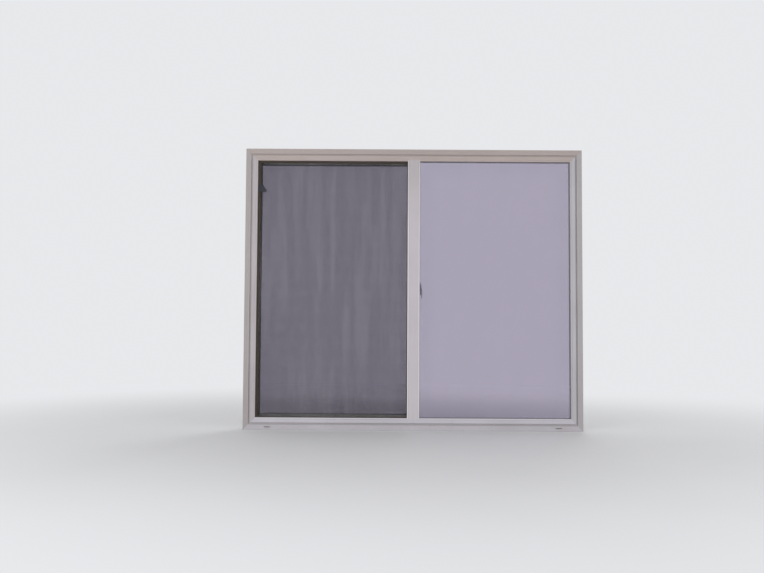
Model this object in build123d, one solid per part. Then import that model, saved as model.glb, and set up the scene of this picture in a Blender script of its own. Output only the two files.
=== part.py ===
"""Vinyl sliding window: a fixed lite on the right and a sliding sash behind a screen on the left.

Millimetres. X runs to the right as seen from outside, Y runs into the room and Z runs up.
The origin is the middle of the sill's underside. In every section u is measured inwards from an
outer edge, and d is measured into the room from the window's front plane.
"""

import os
from collections import namedtuple
from math import pi

from build123d import *

# Overall face size of the frame
WIDTH = 1816.0
HEIGHT = 1511.0

# Frame section, the same on all four sides
WALL = 2.0                  # wall of the extruded vinyl profiles
OUTER_BAND = 28.0           # flat band along the outer edge
OUTER_BAND_SETBACK = 5.0    # its face lies this far behind the front plane
SHADOW_GROOVE = 10.0        # dark groove between the two bands
SHADOW_GROOVE_DEPTH = 6.0
INNER_BAND = 27.0           # from the groove to the sight line, strip included
STRIP = 8.5                 # rounded strip along the sight line
STRIP_RISE = 1.2            # its crest stands this far in front of the flat
STRIP_QUIRK = 0.8           # small step at its foot
LEG_DEPTH = 14.0            # outer glazing leg, front to back
POCKET = 16.0               # from the sight line down to the pocket's floor
TRACK_WALL = 4.0            # wall between the pocket and the sash channel
TRACK_FLOOR = 14.0          # floor of the sash channel, above the outer edge
ROOM_LEG = 2.5              # leg that hides the sash's edge from the room
ROOM_LEG_REACH = 36.0
LEG_NOSE = 1.0              # rounding of that leg

# Insulating glass
PANE = 3.0
AIR_GAP = 13.0
SEAL = 5.0                  # sealant behind the spacer
SPACER = 7.0
SPACER_SKIN = 0.6
GASKET = 2.0
GASKET_HIDDEN = 8.5         # what the glazing leg hides of the gasket
GASKET_LIP = 1.6            # what shows of it beside the sight line
GASKET_CREST = 0.6          # the lip's crest, in front of the gasket's face
GASKET_CREST_AT = 1.0       # from the sight line
GASKET_TIP = 0.7            # thickness at the lip's edge
SETTING_BLOCK = 100.0

# Fixed lite
FIXED_EDGE_GAP = 4.0        # from the pocket's floor to the glass edge
FIXED_BEAD = 7.0            # depth of the beads that hold the glass from the room
FIXED_BEAD_REACH = 17.0
BEAD_LEG = 3.7              # snap leg of a fixed bead
BEAD_LEG_THICK = 2.1
BEAD_LEG_PLAY = 0.2

# Meeting stile in the middle
MULLION_FACE = 65.0
MULLION_SCREW_X = 6.0
MULLION_SCREW_R = 1.95
MULLION_SCREW_LENGTH = 40.0
SCREW_HEAD_R = 4.0          # to the corners of its hexagonal head
SCREW_HEAD = 2.6
SCREW_ACCESS_GAP = 1.0      # around a screw's head in its access hole
SCREW_SHANK_GAP = 0.3       # around its shank in a clearance hole
SCREW_BOSS_GAP = 0.05       # around its shank in the boss that it bites into
STIFFENER_WALL = 1.5
STIFFENER_PLAY = 0.2
HOOK_WALL = 1.5             # the two hooks that meet when the sash is shut
HOOK_REACH = 6.0
HOOK_PLAY = 2.0
MULLION_PILE_X = -9.0

# Sliding sash
SASH_GAP = 2.5              # gap between the sash and either wall of its channel
SASH_LAP = 10.0             # how far the room leg covers the sash
SASH_SETBACK = 1.5          # shut sash, behind the edge of the meeting stile's face
SASH_SLOT = 12.0            # slot that straddles the track
SASH_SLOT_WALL = 5.0
SASH_BODY = 38.0            # from the sash's edge to its glazing floor
SASH_POCKET = 14.0          # from that floor to the sash's sight line
SASH_LEG = 4.0
SASH_BEAD = 4.0
SASH_BEAD_REACH = 17.0
SASH_EDGE_GAP = 3.0
SASH_BEAD_LEG = 3.3
SASH_BEAD_LEG_THICK = 1.5
SASH_BEAD_LEG_SETBACK = 0.7 # from the bead's glass face to its leg
SASH_BEAD_EDGE = 1.3        # thickness of the bead's edge on the glass
PULL_FIN_AT = 20.0          # finger pull along the outer stile
PULL_FIN = 4.0
PULL_FIN_LIP = 6.0

# Brush seals
PILE_BASE = 5.0
PILE_BASE_THICK = 1.2
PILE_NECK = 3.0
PILE_LIP = 1.2
PILE_WALL = 1.5             # vinyl left behind the brush's groove
PILE_AT = 6.0               # from the sash's edge to the middle of the brush
SOFT_GAP = 0.3              # between a brush and the face that it brushes
FIT_GAP = 0.1               # between a pressed-in piece and its groove

# Track, rollers and stops
RIB_HEIGHT = 16.0
RIB_WIDTH = 3.0
RIB_BASE = 14.0
RIB_BASE_THICK = 1.5
WHEEL_TREAD_R = 11.0
WHEEL_RIM = 1.5             # height of the flanges beside the tread
WHEEL_WIDTH = 8.4
WHEEL_GROOVE = 4.2          # width of the groove between the flanges
WHEEL_RUN_GAP = 0.1         # between tread and rib
WHEEL_SPACING = 29.0
WHEEL_HOUSING_GAP = 0.3     # between a wheel and its housing
AXLE_R = 2.0
AXLE_RUN_GAP = 0.05
HOUSING_WALL = 1.5
HOUSING_END = 3.0
HOUSING_TAB = 8.0
HOUSING_FIT = 0.3
ROLLER_FROM_CORNER = 130.0
END_GAP = 1.0               # between the sash and its stops, and behind the track's end
ANTI_LIFT_LENGTH = 40.0
ANTI_LIFT_INSET = 200.0
ANTI_LIFT_PLAY = 0.3        # above the sash
STOP_LAP = 15.5             # how far a stop laps over the sash's edge
STOP_WALL = 4.0
STOP_LENGTH = 72.0          # keeps the open sash off the right jamb

# Lock on the sash and keeper on the meeting stile
LOCK_LENGTH = 64.0
LOCK_HEIGHT = 12.0
LOCK_SIDE_GAP = 0.5
LOCK_SKIN = 2.0
LOCK_BACK_SKIN = 1.0        # the case's room side, beside the cam's tip
LOCK_CHAMFER = 2.0
LOCK_LID = 3.5
LOCK_PIVOT = 8.5            # pivot, behind the sash's outer face
LOCK_SCREW_Z = 27.0
LOCK_SCREW_R = 2.0
LOCK_HEAD_R = 3.6
LOCK_HEAD = 2.0
LOCK_HEAD_SLOT = 1.0        # width and depth of the driver slot
SPINDLE_R = 4.0
SPINDLE_SQUARE = 5.5
SPINDLE_HEAD = 1.5          # peened end that keeps the cam on
CAM_THICK = 3.5
CAM_HUB_R = 6.5
CAM_REACH = 18.4
CAM_TIP_R = 3.5
CAM_PLAY = 2.0              # around the cam inside the case
LEVER_LENGTH = 50.0
LEVER_HUB_R = 7.0
LEVER_THICK = 4.0
LEVER_WIDTH = 9.0
LEVER_TIP_WIDTH = 7.0
LEVER_STEP = 1.0            # the blade stands this far above the hub's foot
LEVER_GAP = 0.3             # between the lever and the case
KEEPER_LENGTH = 44.0
KEEPER_WALL = 1.5
KEEPER_LIP = 2.0
KEEPER_PLAY = 1.0           # beside the cam and past its tip
KEEPER_SCREW_Z = 17.0
KEEPER_SCREW_R = 1.4
KEEPER_SCREW_LENGTH = 10.0
KEEPER_HEAD = 0.8
KEEPER_HEAD_R = 2.2
KEEPER_BACK = 0.4           # the keeper's open side, behind the meeting stile

# Screen
SCREEN_BAR = 19.05
SCREEN_THICK = 8.0
SCREEN_SKIN = 1.2
SCREEN_SEAT = 0.2           # between the screen and what it rests against
SCREEN_TOP_GAP = 7.0
SCREEN_SIDE_GAP = 9.0
SCREEN_SLOT = 10.0          # slot between the outer leg and the screen track
SCREEN_TRACK = 12.0         # how far the track stands up beside the screen
SCREEN_TRACK_WALL = 1.5
SCREEN_TRACK_BACK = 8.0     # its height at the back, past a sloping face
SPLINE_GROOVE = 3.8
SPLINE_GROOVE_DEPTH = 5.0
SPLINE_R = 1.7
SCREEN_LIP = 3.4            # bar beyond the groove
SCREEN_LIP_DROP = 1.5
CLOTH_THICK = 0.3
STRAND_RISE = 0.1
STRAND_WIDTH = 0.8
STRAND_PITCH = 50.0
CORNER_KEY = 45.0
TAB_WIDTH = 34.0            # reach of the wedge's lower edge
TAB_HEIGHT = 38.0
TAB_THICK = 1.6
TAB_FOOT = 9.0              # foot on the screen's bar
TAB_SHORT = 15.0            # reach of the wedge's upper edge
TAB_WAIST = 29.0            # reach of the wedge just above the grip
TAB_GRIP = 15.0             # height of the folded grip at the wedge's lower end
TAB_FROM_TOP = 150.0        # middle of the tab, below the head's sight line
SPRING_LENGTH = 70.0
SPRING_THICK = 0.5
SPRING_WIDTH = 6.0

# Drainage and fixing holes
WEEP_LENGTH = 32.0
WEEP_HEIGHT = 6.0
WEEP_FROM_SIDE = 130.0
WEEP_UP = 15.0
WEEP_CAP_RIM = 3.0
WEEP_CAP_THICK = 1.8
WEEP_CAP_COLLAR = 4.0
WEEP_CAP_WALL = 1.0         # around the cap's mouth
WEEP_LOUVRE = 0.8
FIXING_HOLE_R = 2.75
FIXING_HOLE_FROM_END = 250.0

# Worked out from the sizes above
UNIT = 2 * PANE + AIR_GAP
SIGHT = OUTER_BAND + SHADOW_GROOVE + INNER_BAND
POCKET_FLOOR = SIGHT - POCKET
FLAT_FACE = STRIP_RISE
GROOVE_FLOOR = OUTER_BAND_SETBACK + SHADOW_GROOVE_DEPTH
FIXED_UNIT_FRONT = LEG_DEPTH + GASKET
FIXED_UNIT_BACK = FIXED_UNIT_FRONT + UNIT
BEAD_BACK = FIXED_UNIT_BACK + FIXED_BEAD
CHANNEL_FRONT = BEAD_BACK + TRACK_WALL
SASH_FRONT = CHANNEL_FRONT + SASH_GAP
SASH_THICK = SASH_LEG + GASKET + UNIT + SASH_BEAD
SASH_BACK = SASH_FRONT + SASH_THICK
CHANNEL_BACK = SASH_BACK + SASH_GAP
DEPTH = CHANNEL_BACK + ROOM_LEG
CHANNEL_MIDDLE = (SASH_FRONT + SASH_BACK) / 2
FRONT = -DEPTH / 2
SASH_EDGE = ROOM_LEG_REACH - SASH_LAP
SASH_FACE = SASH_BODY + SASH_POCKET
MULLION_HALF = MULLION_FACE / 2
MULLION_BODY = MULLION_HALF - POCKET
SASH_RIGHT = MULLION_HALF - SASH_SETBACK
BEAD_GROOVE = BEAD_LEG + BEAD_LEG_PLAY
BEAD_GROOVE_FRONT = FIXED_UNIT_BACK + FIXED_BEAD / 2
BEAD_GROOVE_BACK = BEAD_GROOVE_FRONT + BEAD_LEG_THICK + 2 * BEAD_LEG_PLAY
HOOK_GAP = (SASH_FRONT - BEAD_BACK - 2 * HOOK_WALL) / 3
WHEEL_AXIS = TRACK_FLOOR + RIB_HEIGHT + WHEEL_RUN_GAP + WHEEL_TREAD_R
WHEEL_RIM_R = WHEEL_TREAD_R + WHEEL_RIM
HOUSING_LENGTH = WHEEL_SPACING + 2 * WHEEL_RIM_R + 2 * HOUSING_END
HOUSING_WIDTH = WHEEL_WIDTH + 2 * WHEEL_HOUSING_GAP + 2 * HOUSING_WALL
LOCK_Z = HEIGHT / 2
STOP_X = WIDTH / 2 - TRACK_FLOOR - STOP_LENGTH
SASH_TRAVEL = STOP_X - END_GAP - SASH_RIGHT
CAM_X = MULLION_HALF + KEEPER_WALL + KEEPER_PLAY

Outline = namedtuple("Outline", "x0 z0 x1 z1")
FRAME = Outline(-WIDTH / 2, 0.0, WIDTH / 2, HEIGHT)
FIXED_POCKET = Outline(MULLION_BODY, POCKET_FLOOR, WIDTH / 2 - POCKET_FLOOR, HEIGHT - POCKET_FLOOR)
VENT_POCKET = Outline(-WIDTH / 2 + POCKET_FLOOR, POCKET_FLOOR, -MULLION_BODY, HEIGHT - POCKET_FLOOR)
SASH = Outline(-WIDTH / 2 + SASH_EDGE, SASH_EDGE, SASH_RIGHT, HEIGHT - SASH_EDGE)
SCREEN = Outline(
    VENT_POCKET.x0 + SCREEN_SIDE_GAP,
    VENT_POCKET.z0 + SCREEN_SEAT,
    VENT_POCKET.x1 - SCREEN_SEAT,
    VENT_POCKET.z1 - SCREEN_TOP_GAP,
)
SCREEN_FRONT = LEG_DEPTH + SCREEN_SEAT
ROLLER_X = (SASH.x0 + ROLLER_FROM_CORNER, SASH.x1 - ROLLER_FROM_CORNER)

PARTS = {}


def inset(outline, by):
    return Outline(outline.x0 + by, outline.z0 + by, outline.x1 - by, outline.z1 - by)


def block(x0, x1, d0, d1, z0, z1):
    middle = Pos((x0 + x1) / 2, FRONT + (d0 + d1) / 2, (z0 + z1) / 2)
    return middle * Box(x1 - x0, d1 - d0, z1 - z0)


def rod_x(radius, x0, x1, d, z):
    return Pos((x0 + x1) / 2, FRONT + d, z) * Rot(0, 90, 0) * Cylinder(radius, x1 - x0)


def rod_y(radius, x, d0, d1, z):
    return Pos(x, FRONT + (d0 + d1) / 2, z) * Rot(90, 0, 0) * Cylinder(radius, d1 - d0)


def rod_z(radius, x, d, z0, z1):
    return Pos(x, FRONT + d, (z0 + z1) / 2) * Cylinder(radius, z1 - z0)


def hexagon_z(corner_radius, x, d, z0, z1):
    return Pos(x, FRONT + d, z0) * extrude(RegularPolygon(corner_radius, 6), amount=z1 - z0)


def polygon(*points):
    return make_face(Polyline(*points, close=True))


def cell(u0, u1, d0, d1):
    return Pos((u0 + u1) / 2, (d0 + d1) / 2) * Rectangle(u1 - u0, d1 - d0)


def group(*shapes):
    solids = [solid for shape in shapes for solid in shape.solids()]
    return Compound(children=solids)


def side_plane(outline, side):
    """Where a section stands: u points inwards from that side and d points into the room."""
    if side == "sill":
        return Plane((outline.x1, FRONT, outline.z0), x_dir=(0, 0, 1), z_dir=(-1, 0, 0))
    if side == "head":
        return Plane((outline.x0, FRONT, outline.z1), x_dir=(0, 0, -1), z_dir=(1, 0, 0))
    if side == "left":
        return Plane((outline.x0, FRONT, outline.z0), x_dir=(1, 0, 0), z_dir=(0, 0, 1))
    return Plane((outline.x1, FRONT, outline.z1), x_dir=(-1, 0, 0), z_dir=(0, 0, -1))


def mitre_prism(outline, side):
    """The part of the outline that one side owns, bounded by 45 degree cuts at its corners."""
    x0, z0, x1, z1 = outline
    run = 0.45 * min(x1 - x0, z1 - z0)
    corners = {
        "sill": ((x0, z0), (x1, z0), (x1 - run, z0 + run), (x0 + run, z0 + run)),
        "head": ((x0, z1), (x1, z1), (x1 - run, z1 - run), (x0 + run, z1 - run)),
        "left": ((x0, z0), (x0, z1), (x0 + run, z1 - run), (x0 + run, z0 + run)),
        "right": ((x1, z0), (x1, z1), (x1 - run, z1 - run), (x1 - run, z0 + run)),
    }
    return extrude(Plane.XZ * polygon(*corners[side]), amount=2 * DEPTH, both=True)


def straight(section, outline, side):
    level = side in ("sill", "head")
    length = outline.x1 - outline.x0 if level else outline.z1 - outline.z0
    return extrude(side_plane(outline, side) * section, amount=length)


def mitred(section, outline, side):
    return straight(section, outline, side) & mitre_prism(outline, side)


def ring(section, outline):
    """One piece that runs round all four sides, such as a gasket."""
    sides = [mitred(section, outline, side) for side in ("sill", "right", "head", "left")]
    return sides[0] + sides[1] + sides[2] + sides[3]


def frame_section():
    """Two front bands with a groove between, the glazing pocket, and the sash channel behind."""
    groove_end = OUTER_BAND + SHADOW_GROOVE
    strip_start = SIGHT - STRIP
    strip_foot = FLAT_FACE + STRIP_QUIRK
    front = Polyline(
        (0, OUTER_BAND_SETBACK),
        (OUTER_BAND, OUTER_BAND_SETBACK),
        (OUTER_BAND, GROOVE_FLOOR),
        (groove_end, GROOVE_FLOOR),
        (groove_end, FLAT_FACE),
        (strip_start, FLAT_FACE),
        (strip_start, strip_foot),
    )
    strip = ThreePointArc((strip_start, strip_foot), (SIGHT - STRIP / 2, 0), (SIGHT, strip_foot))
    tip = ROOM_LEG_REACH - LEG_NOSE
    back = Polyline(
        (SIGHT, strip_foot),
        (SIGHT, LEG_DEPTH),
        (POCKET_FLOOR, LEG_DEPTH),
        (POCKET_FLOOR, CHANNEL_FRONT),
        (TRACK_FLOOR, CHANNEL_FRONT),
        (TRACK_FLOOR, CHANNEL_BACK),
        (ROOM_LEG_REACH, CHANNEL_BACK),
        (ROOM_LEG_REACH, DEPTH - LEG_NOSE),
        (tip, DEPTH),
        (0, DEPTH),
        (0, OUTER_BAND_SETBACK),
    )
    section = make_face(front + strip + back)
    middle = (OUTER_BAND_SETBACK + CHANNEL_FRONT) / 2
    floor = POCKET_FLOOR - WALL
    section -= cell(WALL, OUTER_BAND - WALL, OUTER_BAND_SETBACK + WALL, middle - WALL / 2)
    section -= cell(WALL, OUTER_BAND - WALL, middle + WALL / 2, CHANNEL_FRONT - WALL)
    section -= cell(OUTER_BAND, floor, LEG_DEPTH, middle - WALL / 2)
    section -= cell(OUTER_BAND, floor - BEAD_GROOVE, middle + WALL / 2, CHANNEL_FRONT - WALL)
    section -= cell(groove_end + WALL, SIGHT - WALL, strip_foot + WALL, LEG_DEPTH - WALL)
    section -= cell(WALL, TRACK_FLOOR - WALL, CHANNEL_FRONT, CHANNEL_MIDDLE - WALL / 2)
    section -= cell(WALL, TRACK_FLOOR - WALL, CHANNEL_MIDDLE + WALL / 2, DEPTH - WALL)
    section -= cell(POCKET_FLOOR - BEAD_GROOVE, POCKET_FLOOR, BEAD_GROOVE_FRONT, BEAD_GROOVE_BACK)
    return section


def mullion_foot(side):
    """What the meeting stile's face takes out of the frame's inner band: a flat with mitred strips."""
    edge = SIGHT if side == "sill" else HEIGHT - SIGHT
    deep = SIGHT - STRIP if side == "sill" else HEIGHT - SIGHT + STRIP
    inner = MULLION_HALF - STRIP
    flat = polygon((-MULLION_HALF, edge), (-inner, deep), (inner, deep), (MULLION_HALF, edge))
    return Pos(0, FRONT, 0) * extrude(Plane.XZ * flat, amount=-LEG_DEPTH)


def slot_hole(length, height, x, z, d0, d1):
    """A drain slot through a wall that faces the front."""
    shape = SlotOverall(length, height)
    return Pos(x, FRONT + d0, z) * extrude(Plane.XZ * shape, amount=-(d1 - d0))


def weep_positions():
    return (-WIDTH / 2 + WEEP_FROM_SIDE, WIDTH / 2 - WEEP_FROM_SIDE)


def mullion_screw_holes(side):
    """A routed access slot up to the pocket's wall, then a clearance hole there for each screw."""
    d = mullion_boss_depth()
    around = SCREW_HEAD_R + SCREW_ACCESS_GAP
    reach = MULLION_SCREW_X + around
    wall = (POCKET_FLOOR - WALL, POCKET_FLOOR) if side == "sill" else (VENT_POCKET.z1, VENT_POCKET.z1 + WALL)
    access = (0, wall[0]) if side == "sill" else (wall[1], HEIGHT)
    holes = [block(-reach, reach, d - around, d + around, *access)]
    for x in (-MULLION_SCREW_X, MULLION_SCREW_X):
        holes.append(rod_z(MULLION_SCREW_R + SCREW_SHANK_GAP, x, d, *wall))
    return holes


def build_frame():
    section = frame_section()
    sill = mitred(section, FRAME, "sill") - mullion_foot("sill")
    head = mitred(section, FRAME, "head") - mullion_foot("head")
    for hole in mullion_screw_holes("sill"):
        sill -= hole
    for hole in mullion_screw_holes("head"):
        head -= hole
    for x in weep_positions():
        sill -= slot_hole(
            WEEP_LENGTH, WEEP_HEIGHT, x, WEEP_UP, OUTER_BAND_SETBACK, OUTER_BAND_SETBACK + WALL
        )
    left = mitred(section, FRAME, "left")
    right = mitred(section, FRAME, "right")
    hole_d = (CHANNEL_FRONT + CHANNEL_MIDDLE) / 2
    for z in (FIXING_HOLE_FROM_END, HEIGHT - FIXING_HOLE_FROM_END):
        left -= rod_x(FIXING_HOLE_R, FRAME.x0, FRAME.x0 + TRACK_FLOOR, hole_d, z)
        right -= rod_x(FIXING_HOLE_R, FRAME.x1 - TRACK_FLOOR, FRAME.x1, hole_d, z)
    PARTS["frame_sill"] = sill
    PARTS["frame_head"] = head
    PARTS["frame_jamb_left"] = left
    PARTS["frame_jamb_right"] = right


def build_weep_covers():
    """Moulded caps pressed into the drain slots: a rim, a collar and a louvre bar."""
    caps = []
    for x in weep_positions():
        rim = slot_hole(
            WEEP_LENGTH + 2 * WEEP_CAP_RIM,
            WEEP_HEIGHT + 2 * WEEP_CAP_RIM,
            x,
            WEEP_UP,
            OUTER_BAND_SETBACK - WEEP_CAP_THICK,
            OUTER_BAND_SETBACK,
        )
        collar = slot_hole(
            WEEP_LENGTH - 2 * FIT_GAP,
            WEEP_HEIGHT - 2 * FIT_GAP,
            x,
            WEEP_UP,
            OUTER_BAND_SETBACK,
            OUTER_BAND_SETBACK + WEEP_CAP_COLLAR,
        )
        mouth = slot_hole(
            WEEP_LENGTH - 2 * WEEP_CAP_WALL,
            WEEP_HEIGHT - 2 * WEEP_CAP_WALL,
            x,
            WEEP_UP,
            OUTER_BAND_SETBACK - WEEP_CAP_THICK,
            OUTER_BAND_SETBACK + WEEP_CAP_COLLAR,
        )
        half = WEEP_LENGTH / 2 - WEEP_CAP_WALL / 2
        louvre = block(
            x - half,
            x + half,
            OUTER_BAND_SETBACK - WEEP_CAP_THICK / 2,
            OUTER_BAND_SETBACK + WEEP_CAP_COLLAR / 2,
            WEEP_UP - WEEP_LOUVRE / 2,
            WEEP_UP + WEEP_LOUVRE / 2,
        )
        caps.append(rim + collar - mouth + louvre)
    PARTS["weep_covers"] = group(*caps)


def mullion_boss_depth():
    return (mullion_rear_front() + mullion_rear_back()) / 2


def mullion_rear_front():
    return (LEG_DEPTH + BEAD_BACK) / 2


def mullion_rear_back():
    return BEAD_BACK - PILE_LIP - PILE_BASE_THICK - PILE_WALL


def mullion_face_section():
    """Front plate: a flat between two rounded strips, with its back on the line of the legs."""
    foot = FLAT_FACE + STRIP_QUIRK
    inner = MULLION_HALF - STRIP
    crest = MULLION_HALF - STRIP / 2
    left = ThreePointArc((-MULLION_HALF, foot), (-crest, 0), (-inner, foot))
    flat = Polyline((-inner, foot), (-inner, FLAT_FACE), (inner, FLAT_FACE), (inner, foot))
    right = ThreePointArc((inner, foot), (crest, 0), (MULLION_HALF, foot))
    back = Polyline(
        (MULLION_HALF, foot), (MULLION_HALF, LEG_DEPTH), (-MULLION_HALF, LEG_DEPTH), (-MULLION_HALF, foot)
    )
    face = make_face(left + flat + right + back)
    face -= cell(-MULLION_HALF + WALL, -WALL / 2, foot + WALL, LEG_DEPTH - WALL)
    face -= cell(WALL / 2, MULLION_HALF - WALL, foot + WALL, LEG_DEPTH - WALL)
    return face


def mullion_body_section():
    """Box behind the plate, the leg that holds the fixed glass, the hook and the brush groove."""
    body = cell(-MULLION_BODY, MULLION_BODY, LEG_DEPTH, BEAD_BACK)
    body += cell(MULLION_BODY, MULLION_HALF, FIXED_UNIT_BACK, BEAD_BACK)
    lip_back = SASH_FRONT - HOOK_GAP
    body += cell(0, HOOK_WALL, BEAD_BACK, lip_back)
    body += cell(0, HOOK_REACH, lip_back - HOOK_WALL, lip_back)
    front_cell_back = mullion_rear_front() - WALL
    body -= cell(-MULLION_BODY + WALL, MULLION_BODY - WALL, LEG_DEPTH + WALL, front_cell_back)
    rear_left = -MULLION_BODY + BEAD_GROOVE + WALL
    rear = cell(rear_left, MULLION_BODY - WALL, mullion_rear_front(), mullion_rear_back())
    for x in (-MULLION_SCREW_X, MULLION_SCREW_X):
        boss = Pos(x, mullion_boss_depth()) * Circle(MULLION_SCREW_R + WALL)
        rear -= boss + cell(x - WALL / 2, x + WALL / 2, mullion_rear_front(), mullion_rear_back())
    body -= rear
    for x in (-MULLION_SCREW_X, MULLION_SCREW_X):
        body -= Pos(x, mullion_boss_depth()) * Circle(MULLION_SCREW_R + SCREW_BOSS_GAP)
    body -= cell(MULLION_BODY + WALL, MULLION_HALF - WALL, FIXED_UNIT_BACK + WALL, BEAD_BACK - WALL)
    groove_x = -MULLION_BODY
    body -= cell(groove_x, groove_x + BEAD_GROOVE, BEAD_GROOVE_FRONT, BEAD_GROOVE_BACK)
    body -= pile_groove(MULLION_PILE_X, BEAD_BACK, -1)
    return body


def pile_groove(at, face, inward):
    """Undercut groove for a brush seal, cut into a face. inward is the sign of the cut along d."""
    lip_end = face + inward * PILE_LIP
    base_end = lip_end + inward * PILE_BASE_THICK
    neck = cell(at - PILE_NECK / 2, at + PILE_NECK / 2, min(face, lip_end), max(face, lip_end))
    base = cell(
        at - PILE_BASE / 2, at + PILE_BASE / 2, min(lip_end, base_end), max(lip_end, base_end)
    )
    return neck + base


def pile_section(at, face, inward, reach):
    """Brush seal in that groove: a flat base, and fibres that stand reach mm out of the face."""
    lip_end = face + inward * PILE_LIP
    base_front = lip_end + inward * FIT_GAP
    base_end = lip_end + inward * (PILE_BASE_THICK - FIT_GAP)
    tip = face - inward * reach
    half = PILE_BASE / 2 - FIT_GAP
    fibre = PILE_NECK / 2 - FIT_GAP
    base = cell(at - half, at + half, min(base_front, base_end), max(base_front, base_end))
    brush = cell(at - fibre, at + fibre, min(base_end, tip), max(base_end, tip))
    return base + brush


def upright(section, z0, z1):
    """A section drawn in x and d, stood up from z0 to z1."""
    plane = Plane((0, FRONT, z0), x_dir=(1, 0, 0), z_dir=(0, 0, 1))
    return extrude(plane * section, amount=z1 - z0)


def build_mullion():
    z0, z1 = VENT_POCKET.z0, VENT_POCKET.z1
    foot, top = SIGHT - STRIP, HEIGHT - SIGHT + STRIP
    plate = upright(mullion_face_section(), foot, top)
    outline = polygon(
        (-MULLION_HALF + STRIP, foot),
        (MULLION_HALF - STRIP, foot),
        (MULLION_HALF, SIGHT),
        (MULLION_HALF, HEIGHT - SIGHT),
        (MULLION_HALF - STRIP, top),
        (-MULLION_HALF + STRIP, top),
        (-MULLION_HALF, HEIGHT - SIGHT),
        (-MULLION_HALF, SIGHT),
    )
    plate &= extrude(Plane.XZ * outline, amount=2 * DEPTH, both=True)
    stile = plate + upright(mullion_body_section(), z0, z1)
    for sign in (-1, 1):
        deep = MULLION_HALF + KEEPER_WALL - KEEPER_SCREW_LENGTH
        z = LOCK_Z + sign * KEEPER_SCREW_Z
        stile -= rod_x(KEEPER_SCREW_R, deep, MULLION_HALF, keeper_screw_depth(), z)
    PARTS["meeting_stile"] = stile
    half = MULLION_BODY - WALL - STIFFENER_PLAY
    front = LEG_DEPTH + WALL + STIFFENER_PLAY
    back = mullion_rear_front() - WALL - STIFFENER_PLAY
    tube = cell(-half, half, front, back)
    tube -= cell(
        -half + STIFFENER_WALL, half - STIFFENER_WALL, front + STIFFENER_WALL, back - STIFFENER_WALL
    )
    PARTS["meeting_stile_stiffener"] = upright(tube, z0 + STIFFENER_PLAY, z1 - STIFFENER_PLAY)
    brush = pile_section(MULLION_PILE_X, BEAD_BACK, -1, SASH_FRONT - BEAD_BACK - SOFT_GAP)
    PARTS["meeting_stile_brush"] = upright(brush, z0, z1)
    PARTS["meeting_stile_screws"] = group(*mullion_screws())


def mullion_screws():
    screws = []
    d = mullion_boss_depth()
    low = POCKET_FLOOR - WALL
    high = HEIGHT - low
    for x in (-MULLION_SCREW_X, MULLION_SCREW_X):
        shank = rod_z(MULLION_SCREW_R, x, d, low, low + MULLION_SCREW_LENGTH)
        screws.append(shank + hexagon_z(SCREW_HEAD_R, x, d, low - SCREW_HEAD, low))
        shank = rod_z(MULLION_SCREW_R, x, d, high - MULLION_SCREW_LENGTH, high)
        screws.append(shank + hexagon_z(SCREW_HEAD_R, x, d, high, high + SCREW_HEAD))
    return screws


def glazing(prefix, pocket, edge_gap, front, sight):
    """Two panes, spacer, sealant, gasket and setting blocks in a pocket. sight is its depth."""
    glass = inset(pocket, edge_gap)
    PARTS[prefix + "_pane_outer"] = block(
        glass.x0, glass.x1, front, front + PANE, glass.z0, glass.z1
    )
    back = front + UNIT
    PARTS[prefix + "_pane_inner"] = block(glass.x0, glass.x1, back - PANE, back, glass.z0, glass.z1)
    gap_front, gap_back = front + PANE, back - PANE
    PARTS[prefix + "_edge_seal"] = ring(cell(0, SEAL, gap_front, gap_back), glass)
    spacer = cell(SEAL, SEAL + SPACER, gap_front, gap_back)
    spacer -= cell(
        SEAL + SPACER_SKIN, SEAL + SPACER - SPACER_SKIN, gap_front + SPACER_SKIN, gap_back - SPACER_SKIN
    )
    PARTS[prefix + "_spacer"] = ring(spacer, glass)
    lip = sight + GASKET_LIP
    gasket = polygon(
        (sight - GASKET_HIDDEN, front - GASKET),
        (sight, front - GASKET),
        (sight + GASKET_CREST_AT, front - GASKET - GASKET_CREST),
        (lip, front - GASKET_TIP),
        (lip, front),
        (sight - GASKET_HIDDEN, front),
    )
    PARTS[prefix + "_gasket"] = ring(gasket, pocket)
    blocks = []
    for share in (0.25, 0.75):
        x = glass.x0 + share * (glass.x1 - glass.x0)
        blocks.append(
            block(x - SETTING_BLOCK / 2, x + SETTING_BLOCK / 2, front, back, pocket.z0, glass.z0)
        )
    PARTS[prefix + "_setting_blocks"] = group(*blocks)


def build_fixed_lite():
    glazing("fixed", FIXED_POCKET, FIXED_EDGE_GAP, FIXED_UNIT_FRONT, POCKET)
    reach = FIXED_BEAD_REACH
    bead = polygon(
        (0, FIXED_UNIT_BACK),
        (reach, FIXED_UNIT_BACK),
        (reach, FIXED_UNIT_BACK + FIXED_BEAD / 2),
        (reach - FIXED_BEAD / 2, BEAD_BACK),
        (0, BEAD_BACK),
    )
    bead -= cell(WALL, reach - FIXED_BEAD / 2 - WALL, FIXED_UNIT_BACK + WALL, BEAD_BACK - WALL)
    bead += snap_leg()
    right_of_stile = block(MULLION_HALF, WIDTH / 2, 0, DEPTH, 0, HEIGHT)
    for side in ("sill", "head", "right"):
        name = "jamb" if side == "right" else side
        PARTS["fixed_bead_" + name] = mitred(bead, FIXED_POCKET, side) & right_of_stile


def snap_leg():
    front = BEAD_GROOVE_FRONT + BEAD_LEG_PLAY
    return cell(-BEAD_LEG, 0, front, front + BEAD_LEG_THICK)


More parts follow.
